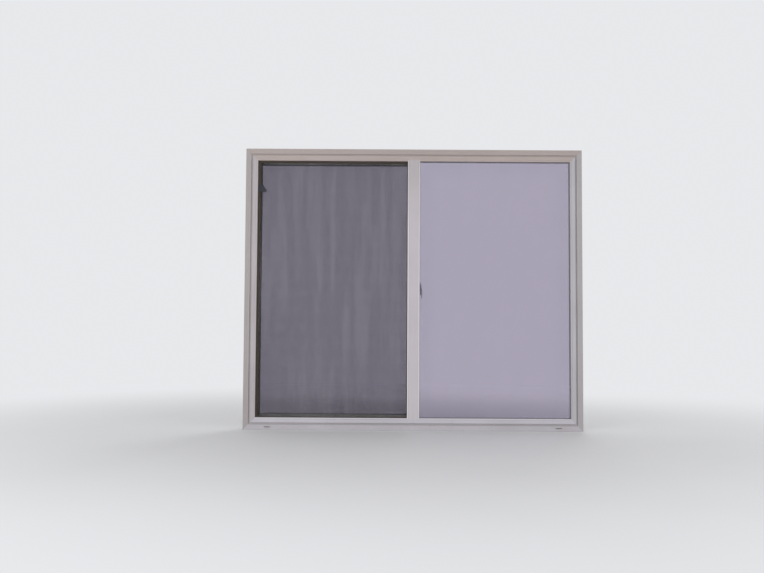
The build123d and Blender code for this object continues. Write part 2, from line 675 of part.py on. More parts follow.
def sash_section():
    """Slot that straddles the track, two hollow chambers, and the pocket for the glass."""
    section = cell(0, SASH_BODY, SASH_FRONT, SASH_BACK)
    leg = cell(SASH_BODY, SASH_FACE, SASH_FRONT, SASH_FRONT + SASH_LEG)
    section += leg
    section -= cell(0, SASH_SLOT, SASH_FRONT + SASH_SLOT_WALL, SASH_BACK - SASH_SLOT_WALL)
    chamber_end = SASH_BODY - WALL
    section -= cell(SASH_SLOT + WALL, chamber_end, SASH_FRONT + WALL, CHANNEL_MIDDLE - WALL / 2)
    section -= cell(
        SASH_SLOT + WALL, chamber_end, CHANNEL_MIDDLE + WALL / 2, SASH_BACK - SASH_SLOT_WALL
    )
    groove_front = sash_bead_groove()
    groove_back = groove_front + SASH_BEAD_LEG_THICK + FIT_GAP
    section -= cell(SASH_BODY - SASH_BEAD_LEG - FIT_GAP, SASH_BODY, groove_front, groove_back)
    section -= pile_groove(PILE_AT, SASH_FRONT, 1)
    section -= pile_groove(PILE_AT, SASH_BACK, -1)
    return section


def sash_bead_groove():
    return SASH_BACK - SASH_BEAD + SASH_BEAD_LEG_SETBACK


def sash_hook():
    """The stile's hook: an arm out of the outer face and a lip that turns back to the left."""
    lip_front = BEAD_BACK + HOOK_GAP
    arm_x = HOOK_REACH + HOOK_PLAY
    arm = cell(arm_x, arm_x + HOOK_WALL, lip_front, SASH_FRONT)
    lip = cell(HOOK_WALL + HOOK_PLAY, arm_x, lip_front, lip_front + HOOK_WALL)
    clear = POCKET_FLOOR + END_GAP
    return upright(arm + lip, clear, HEIGHT - clear)


def pull_fin():
    """A bent fin along the outer stile, for the fingers."""
    x = SASH.x0 + PULL_FIN_AT
    stem = cell(x, x + WALL, SASH_BACK, SASH_BACK + PULL_FIN)
    lip = cell(x, x + PULL_FIN_LIP, SASH_BACK + PULL_FIN - WALL / 2, SASH_BACK + PULL_FIN)
    return upright(stem + lip, SASH.z0 + SASH_FACE, SASH.z1 - SASH_FACE)


def build_sash():
    section = sash_section()
    bottom = mitred(section, SASH, "sill")
    for x in ROLLER_X:
        half = HOUSING_LENGTH / 2 + HOUSING_FIT
        side = HOUSING_WIDTH / 2 + HOUSING_FIT
        bottom -= block(
            x - half,
            x + half,
            CHANNEL_MIDDLE - side,
            CHANNEL_MIDDLE + side,
            SASH.z0 + SASH_SLOT,
            SASH.z0 + SASH_BODY - WALL,
        )
    PARTS["sash_rail_bottom"] = bottom
    PARTS["sash_rail_top"] = mitred(section, SASH, "head")
    PARTS["sash_stile_outer"] = mitred(section, SASH, "left") + pull_fin()
    meeting = mitred(section, SASH, "right") + sash_hook()
    for sign in (-1, 1):
        wall_x = SASH.x1 - SASH_SLOT
        z = LOCK_Z + sign * LOCK_SCREW_Z
        meeting -= rod_x(LOCK_SCREW_R, wall_x - WALL, wall_x, CHANNEL_MIDDLE, z)
    PARTS["sash_stile_meeting"] = meeting
    reach = SASH_GAP - SOFT_GAP
    outer = pile_section(PILE_AT, SASH_FRONT, 1, reach)
    room = pile_section(PILE_AT, SASH_BACK, -1, reach)
    strips = [mitred(face, SASH, side) for face in (outer, room) for side in ("sill", "head", "left")]
    PARTS["sash_brushes"] = group(*strips)


def build_sash_lite():
    pocket = inset(SASH, SASH_BODY)
    glazing("sash", pocket, SASH_EDGE_GAP, SASH_FRONT + SASH_LEG + GASKET, SASH_POCKET)
    front = SASH_BACK - SASH_BEAD
    reach = SASH_BEAD_REACH
    bead = polygon(
        (0, front),
        (reach, front),
        (reach, front + SASH_BEAD_EDGE),
        (reach - SASH_BEAD, SASH_BACK),
        (0, SASH_BACK),
    )
    leg_front = sash_bead_groove() + FIT_GAP / 2
    bead += cell(-SASH_BEAD_LEG, 0, leg_front, leg_front + SASH_BEAD_LEG_THICK)
    names = {"sill": "bottom", "head": "top", "left": "outer", "right": "meeting"}
    for side, name in names.items():
        PARTS["sash_bead_" + name] = mitred(bead, pocket, side)


def rib_section():
    """Track rib in u and d, with its base on the channel's floor and a round crown."""
    crown = TRACK_FLOOR + RIB_HEIGHT
    half = RIB_WIDTH / 2
    base = cell(
        TRACK_FLOOR,
        TRACK_FLOOR + RIB_BASE_THICK,
        CHANNEL_MIDDLE - RIB_BASE / 2,
        CHANNEL_MIDDLE + RIB_BASE / 2,
    )
    web = cell(TRACK_FLOOR, crown - half, CHANNEL_MIDDLE - half, CHANNEL_MIDDLE + half)
    return base + web + Pos(crown - half, CHANNEL_MIDDLE) * Circle(half)


def build_track():
    start = FRAME.x0 + TRACK_FLOOR + END_GAP
    length = Outline(start, 0, STOP_X - END_GAP, HEIGHT)
    PARTS["roller_track"] = straight(rib_section(), length, "sill")
    PARTS["head_guide"] = straight(rib_section(), length, "head")
    top = SASH_EDGE + STOP_LAP
    end = FRAME.x1 - TRACK_FLOOR
    front, back = SASH_FRONT + LOCK_SIDE_GAP, SASH_BACK - LOCK_SIDE_GAP
    stop = block(STOP_X, end, front, back, TRACK_FLOOR, top)
    relief_x = (STOP_X + STOP_WALL, end - STOP_WALL)
    stop -= block(*relief_x, front + STOP_WALL, back - STOP_WALL, TRACK_FLOOR, top - STOP_WALL)
    PARTS["sash_stops"] = group(stop, Pos(0, 0, HEIGHT) * mirror(stop, about=Plane.XY))
    low = HEIGHT - SASH_EDGE + ANTI_LIFT_PLAY
    beside_rib = CHANNEL_MIDDLE + RIB_BASE / 2 + FIT_GAP
    half = ANTI_LIFT_LENGTH / 2
    clips = [
        block(x - half, x + half, beside_rib, back, low, HEIGHT - TRACK_FLOOR)
        for x in (SASH.x0 + ANTI_LIFT_INSET, SASH.x1 - ANTI_LIFT_INSET)
    ]
    PARTS["anti_lift_blocks"] = group(*clips)


def wheel():
    """Grooved wheel about the Z axis, to be turned onto its axle."""
    half = WHEEL_WIDTH / 2
    bore = AXLE_R + AXLE_RUN_GAP
    groove = WHEEL_GROOVE / 2
    section = polygon(
        (bore, -half),
        (WHEEL_RIM_R, -half),
        (WHEEL_RIM_R, -groove),
        (WHEEL_TREAD_R, -groove),
        (WHEEL_TREAD_R, groove),
        (WHEEL_RIM_R, groove),
        (WHEEL_RIM_R, half),
        (bore, half),
    )
    return revolve(Plane.XZ * section, axis=Axis.Z, revolution_arc=360)


def wheel_positions():
    return [x + sign * WHEEL_SPACING / 2 for x in ROLLER_X for sign in (-1, 1)]


def build_rollers():
    shape = wheel()
    for number, x in enumerate(wheel_positions(), start=1):
        PARTS[f"roller_wheel_{number}"] = Pos(x, FRONT + CHANNEL_MIDDLE, WHEEL_AXIS) * Rot(90, 0, 0) * shape
    half = HOUSING_WIDTH / 2
    axles = [
        rod_y(AXLE_R, x, CHANNEL_MIDDLE - half, CHANNEL_MIDDLE + half, WHEEL_AXIS)
        for x in wheel_positions()
    ]
    PARTS["roller_axles"] = group(*axles)
    for x, name in zip(ROLLER_X, ("left", "right")):
        PARTS["roller_housing_" + name] = roller_housing(x)


def roller_housing(x):
    """Inverted channel that holds two wheels, with end tabs under the slot's floor."""
    half = HOUSING_LENGTH / 2
    side = HOUSING_WIDTH / 2
    inner = side - HOUSING_WALL
    seat = SASH.z0 + SASH_SLOT
    top = WHEEL_AXIS + WHEEL_RIM_R + WHEEL_HOUSING_GAP
    shell = block(
        x - half,
        x + half,
        CHANNEL_MIDDLE - side,
        CHANNEL_MIDDLE + side,
        seat - HOUSING_WALL,
        top + HOUSING_WALL,
    )
    tab_side = (SASH_THICK - 2 * SASH_SLOT_WALL) / 2 - HOUSING_FIT
    shell += block(
        x - half - HOUSING_TAB,
        x + half + HOUSING_TAB,
        CHANNEL_MIDDLE - tab_side,
        CHANNEL_MIDDLE + tab_side,
        seat - HOUSING_WALL,
        seat,
    )
    shell -= block(
        x - half + HOUSING_WALL,
        x + half - HOUSING_WALL,
        CHANNEL_MIDDLE - inner,
        CHANNEL_MIDDLE + inner,
        seat - HOUSING_WALL,
        top,
    )
    for sign in (-1, 1):
        shell -= rod_y(
            AXLE_R, x + sign * WHEEL_SPACING / 2, CHANNEL_MIDDLE - side, CHANNEL_MIDDLE + side, WHEEL_AXIS
        )
    return shell


def build_screen():
    groove_in = SCREEN_BAR - SCREEN_LIP
    groove_out = groove_in - SPLINE_GROOVE
    back = SCREEN_FRONT + SCREEN_THICK
    section = cell(0, SCREEN_BAR, SCREEN_FRONT, back)
    section -= cell(groove_out, groove_in, back - SPLINE_GROOVE_DEPTH, back)
    section -= cell(groove_in, SCREEN_BAR, back - SCREEN_LIP_DROP, back)
    hollow = cell(
        SCREEN_SKIN, groove_out - SCREEN_SKIN, SCREEN_FRONT + SCREEN_SKIN, back - SCREEN_SKIN
    )
    section -= hollow
    names = {"sill": "bottom", "head": "top", "left": "left", "right": "right"}
    for side, name in names.items():
        PARTS["screen_bar_" + name] = mitred(section, SCREEN, side)
    cloth_front = back - SCREEN_LIP_DROP + FIT_GAP
    spline_d = cloth_front - FIT_GAP - SPLINE_R
    spline = Pos((groove_out + groove_in) / 2, spline_d) * Circle(SPLINE_R)
    PARTS["screen_spline"] = ring(spline, SCREEN)
    build_screen_cloth(inset(SCREEN, groove_out + FIT_GAP), cloth_front)
    build_corner_keys(groove_out)
    build_screen_tab()
    build_screen_springs()
    build_screen_track()


def build_screen_cloth(edge, front):
    """Insect screen: a thin sheet, upright strands proud on its front and level ones on its back."""
    sheet = block(edge.x0, edge.x1, front, front + CLOTH_THICK, edge.z0, edge.z1)
    clear = SCREEN_LIP + SPLINE_GROOVE + FIT_GAP
    bare = inset(edge, clear)
    back = front + CLOTH_THICK
    across = int((bare.x1 - bare.x0) / STRAND_PITCH)
    up = int((bare.z1 - bare.z0) / STRAND_PITCH)
    first_x = (bare.x0 + bare.x1 - (across - 1) * STRAND_PITCH) / 2
    first_z = (bare.z0 + bare.z1 - (up - 1) * STRAND_PITCH) / 2
    half = STRAND_WIDTH / 2
    for number in range(across):
        x = first_x + number * STRAND_PITCH
        sheet += block(x - half, x + half, front - STRAND_RISE, front, bare.z0, bare.z1)
    for number in range(up):
        z = first_z + number * STRAND_PITCH
        sheet += block(bare.x0, bare.x1, back, back + STRAND_RISE, z - half, z + half)
    PARTS["screen_cloth"] = sheet


def build_corner_keys(groove_out):
    near = SCREEN_SKIN + FIT_GAP
    far = groove_out - SCREEN_SKIN - FIT_GAP
    front = SCREEN_FRONT + SCREEN_SKIN + FIT_GAP
    back = SCREEN_FRONT + SCREEN_THICK - SCREEN_SKIN - FIT_GAP
    keys = []
    for x, right in ((SCREEN.x0, 1), (SCREEN.x1, -1)):
        for z, up in ((SCREEN.z0, 1), (SCREEN.z1, -1)):
            shape = polygon(
                (x + right * near, z + up * near),
                (x + right * CORNER_KEY, z + up * near),
                (x + right * CORNER_KEY, z + up * far),
                (x + right * far, z + up * far),
                (x + right * far, z + up * CORNER_KEY),
                (x + right * near, z + up * CORNER_KEY),
            )
            keys.append(Pos(0, FRONT + front, 0) * extrude(Plane.XZ * shape, amount=-(back - front)))
    PARTS["screen_corner_keys"] = group(*keys)


def build_screen_tab():
    """Moulded pull tab: a foot on the left bar, and a wedge that stands over the cloth."""
    bar_edge = SCREEN.x0 + SCREEN_BAR
    middle = HEIGHT - SIGHT - TAB_FROM_TOP
    low, high = middle - TAB_HEIGHT / 2, middle + TAB_HEIGHT / 2
    wedge = polygon(
        (bar_edge, low),
        (bar_edge + TAB_WIDTH, low),
        (bar_edge + TAB_WIDTH, low + TAB_GRIP),
        (bar_edge + TAB_WAIST, low + TAB_GRIP),
        (bar_edge + TAB_SHORT, high),
        (bar_edge, high),
    )
    body = Pos(0, FRONT + SCREEN_FRONT, 0) * extrude(Plane.XZ * wedge, amount=-TAB_THICK)
    ahead = SCREEN_FRONT - TAB_THICK
    foot = block(bar_edge - TAB_FOOT, bar_edge, ahead, SCREEN_FRONT, low, high)
    neck = block(bar_edge, bar_edge + TAB_THICK, ahead, SCREEN_FRONT, low, high)
    far = bar_edge + TAB_WIDTH
    grip = block(far - TAB_THICK, far, ahead, SCREEN_FRONT, low, low + TAB_GRIP)
    PARTS["screen_pull_tab"] = foot + neck + body + grip


def build_screen_springs():
    """Bowed leaf springs that push the screen away from the left jamb."""
    springs = []
    near = SCREEN.x0 - SCREEN_SEAT
    far = VENT_POCKET.x0 + SCREEN_SEAT
    middle_d = SCREEN_FRONT + SCREEN_THICK / 2
    third = (SCREEN.z1 - SCREEN.z0) / 3
    half = SPRING_LENGTH / 2
    for z in (SCREEN.z0 + third, SCREEN.z1 - third):
        outer = ThreePointArc((near, z - half), (far, z), (near, z + half))
        end = Line((near, z + half), (near, z + half - 2 * SPRING_THICK))
        inner = ThreePointArc(
            (near, z + half - 2 * SPRING_THICK), (far + SPRING_THICK, z), (near, z - half + 2 * SPRING_THICK)
        )
        start = Line((near, z - half + 2 * SPRING_THICK), (near, z - half))
        leaf = make_face(outer + end + inner + start)
        springs.append(
            Pos(0, FRONT + middle_d, 0) * extrude(Plane.XZ * leaf, amount=SPRING_WIDTH / 2, both=True)
        )
    PARTS["screen_springs"] = group(*springs)


def build_screen_track():
    """Hollow strips snapped into the left pocket, which close the slot behind the screen."""
    front = LEG_DEPTH + SCREEN_SLOT
    wall = SCREEN_TRACK_WALL
    low = SCREEN_TRACK_BACK
    section = polygon(
        (0, front), (SCREEN_TRACK, front), (SCREEN_TRACK, front + 2 * wall), (low, BEAD_BACK), (0, BEAD_BACK)
    )
    section -= polygon(
        (wall, front + wall),
        (SCREEN_TRACK - wall, front + wall),
        (SCREEN_TRACK - wall, front + 2 * wall),
        (low - wall, BEAD_BACK - wall),
        (wall, BEAD_BACK - wall),
    )
    section += snap_leg()
    sides = ("sill", "head", "left", "right")
    PARTS["screen_track"] = group(*[mitred(section, VENT_POCKET, side) for side in sides])


def lock_case():
    """Hollow case on the stile's edge, open towards the stile and where the cam swings out."""
    x0, x1 = SASH.x1, SASH.x1 + LOCK_HEIGHT
    front, back = SASH_FRONT + LOCK_SIDE_GAP, SASH_BACK - LOCK_SIDE_GAP
    half = LOCK_LENGTH / 2
    case = block(x0, x1, front, back, LOCK_Z - half, LOCK_Z + half)
    rim = case.faces().sort_by(Axis.X)[-1].edges()
    case = chamfer(rim, LOCK_CHAMFER)
    lid = x1 - LOCK_LID
    room = CAM_REACH + CAM_PLAY
    inner = front + LOCK_SKIN
    case -= block(x0, lid, inner, back - LOCK_BACK_SKIN, LOCK_Z - room, LOCK_Z + room)
    case -= block(x0, lid, front, inner, LOCK_Z - CAM_HUB_R - CAM_PLAY, LOCK_Z + room)
    case -= rod_x(SPINDLE_R + AXLE_RUN_GAP, lid, x1, SASH_FRONT + LOCK_PIVOT, LOCK_Z)
    for sign in (-1, 1):
        z = LOCK_Z + sign * LOCK_SCREW_Z
        case -= rod_x(LOCK_SCREW_R + AXLE_RUN_GAP, x0, x1, CHANNEL_MIDDLE, z)
        case -= rod_x(LOCK_HEAD_R + AXLE_RUN_GAP, x1 - LOCK_HEAD, x1, CHANNEL_MIDDLE, z)
    return case


def lock_screws():
    """Screws with sunk, slotted heads that reach the wall at the bottom of the stile's slot."""
    screws = []
    top = SASH.x1 + LOCK_HEIGHT
    deep = SASH.x1 - SASH_SLOT - WALL
    for sign in (-1, 1):
        z = LOCK_Z + sign * LOCK_SCREW_Z
        screw = rod_x(LOCK_SCREW_R, deep, top - LOCK_HEAD, CHANNEL_MIDDLE, z)
        screw += rod_x(LOCK_HEAD_R, top - LOCK_HEAD, top, CHANNEL_MIDDLE, z)
        slot_d = (CHANNEL_MIDDLE - LOCK_HEAD_SLOT / 2, CHANNEL_MIDDLE + LOCK_HEAD_SLOT / 2)
        screw -= block(top - LOCK_HEAD_SLOT, top, *slot_d, z - LOCK_HEAD_R, z + LOCK_HEAD_R)
        screws.append(screw)
    return screws


def square_bar(x0, x1, d, z):
    half = SPINDLE_SQUARE / 2
    return block(x0, x1, d - half, d + half, z - half, z + half)


def lock_cam(d):
    """Cam about the spindle: a hub and a tapered lobe, pointing into the room when unlocked."""
    tip = CAM_REACH - CAM_TIP_R
    lobe = polygon((0, -CAM_HUB_R), (tip, -CAM_TIP_R), (tip, CAM_TIP_R), (0, CAM_HUB_R))
    outline = Circle(CAM_HUB_R) + lobe + Pos(tip, 0) * Circle(CAM_TIP_R)
    plane = Plane((CAM_X, FRONT + d, LOCK_Z), x_dir=(0, 1, 0), z_dir=(1, 0, 0))
    cam = extrude(plane * outline, amount=CAM_THICK)
    return cam - square_bar(CAM_X, CAM_X + CAM_THICK, d, LOCK_Z)


def lock_lever(d):
    """Hub, spindle and a tapered thumb lever that hangs down when the lock is open."""
    top = SASH.x1 + LOCK_HEIGHT
    base = top + LEVER_GAP
    hub = rod_x(LEVER_HUB_R, base, base + LEVER_THICK, d, LOCK_Z)
    spindle = rod_x(SPINDLE_R, top - LOCK_LID, base, d, LOCK_Z)
    spindle += square_bar(CAM_X, top - LOCK_LID, d, LOCK_Z)
    spindle += rod_x(SPINDLE_R, CAM_X - SPINDLE_HEAD, CAM_X, d, LOCK_Z)
    near, far = LEVER_WIDTH / 2, LEVER_TIP_WIDTH / 2
    end = LEVER_LENGTH - far
    blade = polygon((0, -near), (end, -far), (end, far), (0, near)) + Pos(end, 0) * Circle(far)
    plane = Plane((base + LEVER_STEP, FRONT + d, LOCK_Z), x_dir=(0, 0, -1), z_dir=(1, 0, 0))
    blade = extrude(plane * blade, amount=LEVER_THICK)
    return hub + spindle + blade


def keeper_front():
    return SASH_FRONT + LOCK_PIVOT - CAM_REACH - KEEPER_PLAY - KEEPER_WALL


def keeper_screw_depth():
    return keeper_front() + KEEPER_WALL + FIT_GAP + KEEPER_HEAD_R


def build_lock():
    PARTS["lock_case"] = lock_case()
    PARTS["lock_screws"] = group(*lock_screws())
    pivot = SASH_FRONT + LOCK_PIVOT
    PARTS["lock_cam"] = lock_cam(pivot)
    PARTS["lock_lever"] = lock_lever(pivot)
    front, back = keeper_front(), BEAD_BACK + KEEPER_BACK
    seat = MULLION_HALF
    lip = CAM_X + CAM_THICK + KEEPER_PLAY
    half = KEEPER_LENGTH / 2
    keeper = block(seat, seat + KEEPER_WALL, front, back, LOCK_Z - half, LOCK_Z + half)
    keeper += block(seat, lip + KEEPER_LIP, front, front + KEEPER_WALL, LOCK_Z - half, LOCK_Z + half)
    keeper += block(lip, lip + KEEPER_LIP, front, back, LOCK_Z - half, LOCK_Z + half)
    screws = []
    for sign in (-1, 1):
        z = LOCK_Z + sign * KEEPER_SCREW_Z
        d = keeper_screw_depth()
        face = seat + KEEPER_WALL
        keeper -= rod_x(KEEPER_SCREW_R, seat, face, d, z)
        shank = rod_x(KEEPER_SCREW_R, face - KEEPER_SCREW_LENGTH, face, d, z)
        screws.append(shank + rod_x(KEEPER_HEAD_R, face, face + KEEPER_HEAD, d, z))
    PARTS["lock_keeper"] = keeper
    PARTS["lock_keeper_screws"] = group(*screws)


def main():
    build_frame()
    build_weep_covers()
    build_mullion()
    build_fixed_lite()
    build_track()
    build_screen()
    build_sash()
    build_sash_lite()
    build_rollers()
    build_lock()
    os.makedirs("parts", exist_ok=True)
    for name, shape in PARTS.items():
        export_step(shape, f"parts/{name}.step")
    turns = 1000 / (2 * pi * (WHEEL_TREAD_R + WHEEL_RUN_GAP / 2))
    print(f"{len(PARTS)} nodes, frame depth {DEPTH:.1f} mm")
    print(f"sash travel {SASH_TRAVEL:.1f} mm, wheels turn {turns:.1f} times a metre")


main()
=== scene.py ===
# %% [markdown]
# # A vinyl sliding window, dressed for the camera
# The solid model already holds every piece at its true size. This script adds what a solid model
# can't show: the finish of each material, the woven insect screen and the fibres of the brush
# seals. It is written as a lesson: each step says what the thing is, how it could be made, and why
# this way was chosen. All lengths are metres. X runs to the right as seen from outside, Y runs
# into the room and Z runs up.

# %% Load the solid model
import math

import bpy
import numpy as np
from mathutils import Matrix, Vector


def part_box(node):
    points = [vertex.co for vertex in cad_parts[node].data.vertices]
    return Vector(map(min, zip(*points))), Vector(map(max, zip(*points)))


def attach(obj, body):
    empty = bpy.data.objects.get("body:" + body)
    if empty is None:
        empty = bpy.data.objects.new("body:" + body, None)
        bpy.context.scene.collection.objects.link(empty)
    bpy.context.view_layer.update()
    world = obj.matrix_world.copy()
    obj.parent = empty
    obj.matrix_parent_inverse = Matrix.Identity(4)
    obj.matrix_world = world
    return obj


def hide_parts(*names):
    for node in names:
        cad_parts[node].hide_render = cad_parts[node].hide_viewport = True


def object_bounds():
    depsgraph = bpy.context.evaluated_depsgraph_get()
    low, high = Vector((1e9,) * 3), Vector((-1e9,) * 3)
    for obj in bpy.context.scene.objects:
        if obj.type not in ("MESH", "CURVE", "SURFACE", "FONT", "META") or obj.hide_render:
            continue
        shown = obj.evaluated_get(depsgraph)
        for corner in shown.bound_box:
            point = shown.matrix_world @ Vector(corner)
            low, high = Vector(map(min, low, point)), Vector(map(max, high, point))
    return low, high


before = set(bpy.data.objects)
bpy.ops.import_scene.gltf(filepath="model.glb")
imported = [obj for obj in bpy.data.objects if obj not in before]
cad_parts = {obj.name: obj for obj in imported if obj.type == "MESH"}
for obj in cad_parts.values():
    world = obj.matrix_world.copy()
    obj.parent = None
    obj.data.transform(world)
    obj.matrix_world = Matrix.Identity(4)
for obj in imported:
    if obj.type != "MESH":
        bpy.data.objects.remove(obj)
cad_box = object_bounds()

scene = bpy.context.scene
print(len(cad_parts), "pieces, box", [round(v, 4) for corner in cad_box for v in corner])

# %% [markdown]
# ## The camera
# The view is from outside, about four and a half metres away, a little left of the middle and
# lower than the window's middle. A camera could be turned to look at a point, but here it is also
# tilted by a third of a degree, so its three axes are written out from yaw, pitch and roll.

# %% Camera
CAMERA_PLACE = (-0.167, -4.436, 0.547)
YAW, PITCH, ROLL = math.radians(-0.031), math.radians(2.862), math.radians(0.343)
SENSOR_WIDTH, FOCAL_LENGTH = 36, 38.64      # in millimetres
FARTHEST = 60

camera_data = bpy.data.cameras.new("camera")
camera_data.sensor_width = SENSOR_WIDTH
camera_data.lens = FOCAL_LENGTH
camera_data.clip_end = FARTHEST
camera = bpy.data.objects.new("camera", camera_data)
scene.collection.objects.link(camera)
scene.camera = camera
ahead = Vector((math.sin(YAW) * math.cos(PITCH), math.cos(YAW) * math.cos(PITCH), math.sin(PITCH)))
level = Vector((math.cos(YAW), -math.sin(YAW), 0))
above = level.cross(ahead)
right = math.cos(ROLL) * level + math.sin(ROLL) * above
up = math.cos(ROLL) * above - math.sin(ROLL) * level
turn = Matrix((right, up, -ahead)).transposed().to_4x4()
camera.matrix_world = Matrix.Translation(CAMERA_PLACE) @ turn
scene.view_settings.view_transform = "Standard"
print("camera", [round(v, 3) for v in camera.location])

# %% [markdown]
# ## Shader arithmetic
# A procedural finish is a sum of small patterns. Wired by hand, every sum and product is a node.
# Here a socket is wrapped in a small class whose operators add those nodes, so that a pattern
# reads as a formula.

# %% Sockets that can be added, scaled and compared


class Wire:
    """One output socket. Arithmetic on it adds one Math node."""

    def __init__(self, wiring, socket):
        self.wiring = wiring
        self.socket = socket

    def join(self, operation, first, second=0.0):
        return self.wiring.add("ShaderNodeMath", {"operation": operation}, {0: first, 1: second})

    def __add__(self, other):
        return self.join("ADD", self, other)

    __radd__ = __add__

    def __sub__(self, other):
        return self.join("SUBTRACT", self, other)

    def __rsub__(self, other):
        return self.join("SUBTRACT", other, self)

    def __mul__(self, other):
        return self.join("MULTIPLY", self, other)

    __rmul__ = __mul__

    def __abs__(self):
        return self.join("ABSOLUTE", self)

    def least(self, other):
        return self.join("MINIMUM", self, other)

    def most(self, other):
        return self.join("MAXIMUM", self, other)

    def fraction(self):
        return self.join("FRACT", self)


# %% [markdown]
# Every node, those of the arithmetic too, comes from one method, `add`, which takes the node's
# type, its settings and what its sockets get. The steps that most patterns share are built on it:
# a soft threshold, a band and a blend of two colours. They serve a material and the background
# alike, because both are node trees.

# %% Nodes by name


class Wiring:
    """A node tree, and the steps that add nodes to it."""

    def __init__(self, tree):
        self.tree = tree

    def feed(self, socket, value):
        """Links a wire to a socket, or sets the socket's own value. A colour gets an alpha of 1."""
        if isinstance(value, Wire):
            self.tree.links.new(value.socket, socket)
        elif isinstance(value, tuple) and len(socket.default_value) == 4:
            socket.default_value = (*value, 1.0)
        else:
            socket.default_value = value

    def add(self, kind, settings, sockets, out=0):
        """Adds a node: its settings first, then the values or wires of its sockets."""
        node = self.tree.nodes.new(kind)
        for name, value in settings.items():
            setattr(node, name, value)
        for key, value in sockets.items():
            self.feed(node.inputs[key], value)
        return Wire(self, node.outputs[out])

    def step(self, value, low, high):
        """0 below low, 1 above high, and a smooth rise between them."""
        settings = {"interpolation_type": "SMOOTHSTEP"}
        sockets = {"Value": value, "From Min": low, "From Max": high}
        return self.add("ShaderNodeMapRange", settings, sockets)

    def band(self, value, middle, width):
        """1 within half a width of the middle, and a smooth fall to 0 at one width from it."""
        return 1 - self.step(abs(value - middle), width / 2, width)

    def mix(self, share, first, second):
        """The first colour where the share is 0, and the second where it is 1."""
        return self.add("ShaderNodeMix", {"data_type": "RGBA"}, {0: share, 6: first, 7: second}, 2)


# %% [markdown]
# A finish is one material. Its patterns read the object's own coordinates, in metres, so a noise
# is given by the width of its features and has the same grain on every piece. What is the same all
# over a surface is set on the shader's own socket, and only colour, roughness and relief are wired.
# Glass and floor also show some rays another shader, which a last method blends in.

# %% One material


class Finish(Wiring):
    """A Principled shader with its constants, and the nodes that feed it."""

    def __init__(self, name, constants):
        self.material = bpy.data.materials.new(name)
        self.material.use_nodes = True
        super().__init__(self.material.node_tree)
        self.shader = self.tree.nodes["Principled BSDF"]
        for socket, value in constants.items():
            self.feed(self.shader.inputs[socket], value)
        self.place = self.add("ShaderNodeTexCoord", {}, {}, "Object")

    def axes(self):
        """Three wires: where a point of the piece is along X, Y and Z."""
        split = self.add("ShaderNodeSeparateXYZ", {}, {0: self.place})
        return tuple(Wire(self, socket) for socket in split.socket.node.outputs)

    def noise(self, size, detail=2.0, stretch=(1, 1, 1)):
        """Soft random pattern with features about size metres wide, longer where stretched."""
        scale = tuple(1 / part for part in stretch)
        place = self.add("ShaderNodeMapping", {}, {"Vector": self.place, "Scale": scale})
        sockets = {"Vector": place, "Scale": 1 / size, "Detail": detail}
        return self.add("ShaderNodeTexNoise", {}, sockets, "Fac")

    def paint(self, colour, roughness, height=None, relief=0.0):
        """Feeds the shader: colour, roughness, and a bump whose full height is relief metres."""
        self.feed(self.shader.inputs["Base Color"], colour)
        self.feed(self.shader.inputs["Roughness"], roughness)
        if height is not None:
            sockets = {"Height": height, "Distance": relief, "Strength": 1.0}
            self.feed(self.shader.inputs["Normal"], self.add("ShaderNodeBump", {}, sockets, "Normal"))
        return self.material

    def blend_shader(self, share, other):
        """Shows the Principled shader where the share is 0, and the other one where it is 1."""
        own = Wire(self, self.shader.outputs[0])
        both = self.add("ShaderNodeMixShader", {}, {0: share, 1: own, 2: other})
        self.feed(self.tree.nodes["Material Output"].inputs["Surface"], both)
        return self.material


finishes_used = {}


def wear(material, *names):
    """Gives solid pieces their finish, by assigning to the slots of their objects."""
    for name in names:
        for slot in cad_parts[name].material_slots:
            slot.link = "OBJECT"
            slot.material = material
        finishes_used[name] = material.name
    print(material.name, "on", ", ".join(names))


# %% [markdown]
# ## Where things are
# Places could be typed in as numbers, but these would be wrong after the next change of size. So
# finishes and new pieces are placed from the solid pieces' own boxes.

# %% Boxes of the pieces


def outline(*names):
    """Left, bottom, right and top of several pieces together."""
    boxes = [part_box(name) for name in names]
    low = [min(box[0][axis] for box in boxes) for axis in (0, 2)]
    high = [max(box[1][axis] for box in boxes) for axis in (0, 2)]
    return (*low, *high)


frame_outline = outline("frame_sill", "frame_head", "frame_jamb_left", "frame_jamb_right")
sash_outline = outline("sash_rail_bottom", "sash_rail_top", "sash_stile_outer", "sash_brushes")
sash_outline = (*sash_outline[:2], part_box("sash_stile_meeting")[1].x, sash_outline[3])
screen_outline = outline("screen_bar_left", "screen_bar_right", "screen_bar_top", "screen_bar_bottom")
front_plane = cad_box[0].y
print("frame", frame_outline)
print("sash", sash_outline)
print("screen", screen_outline)


def distance_in(finish, edges):
    """Two wires: how far a point is in from the nearer upright edge and from the nearer level one."""
    x, _, z = finish.axes()
    left, bottom, right_edge, top = edges
    return (x - left).least(right_edge - x), (z - bottom).least(top - z)
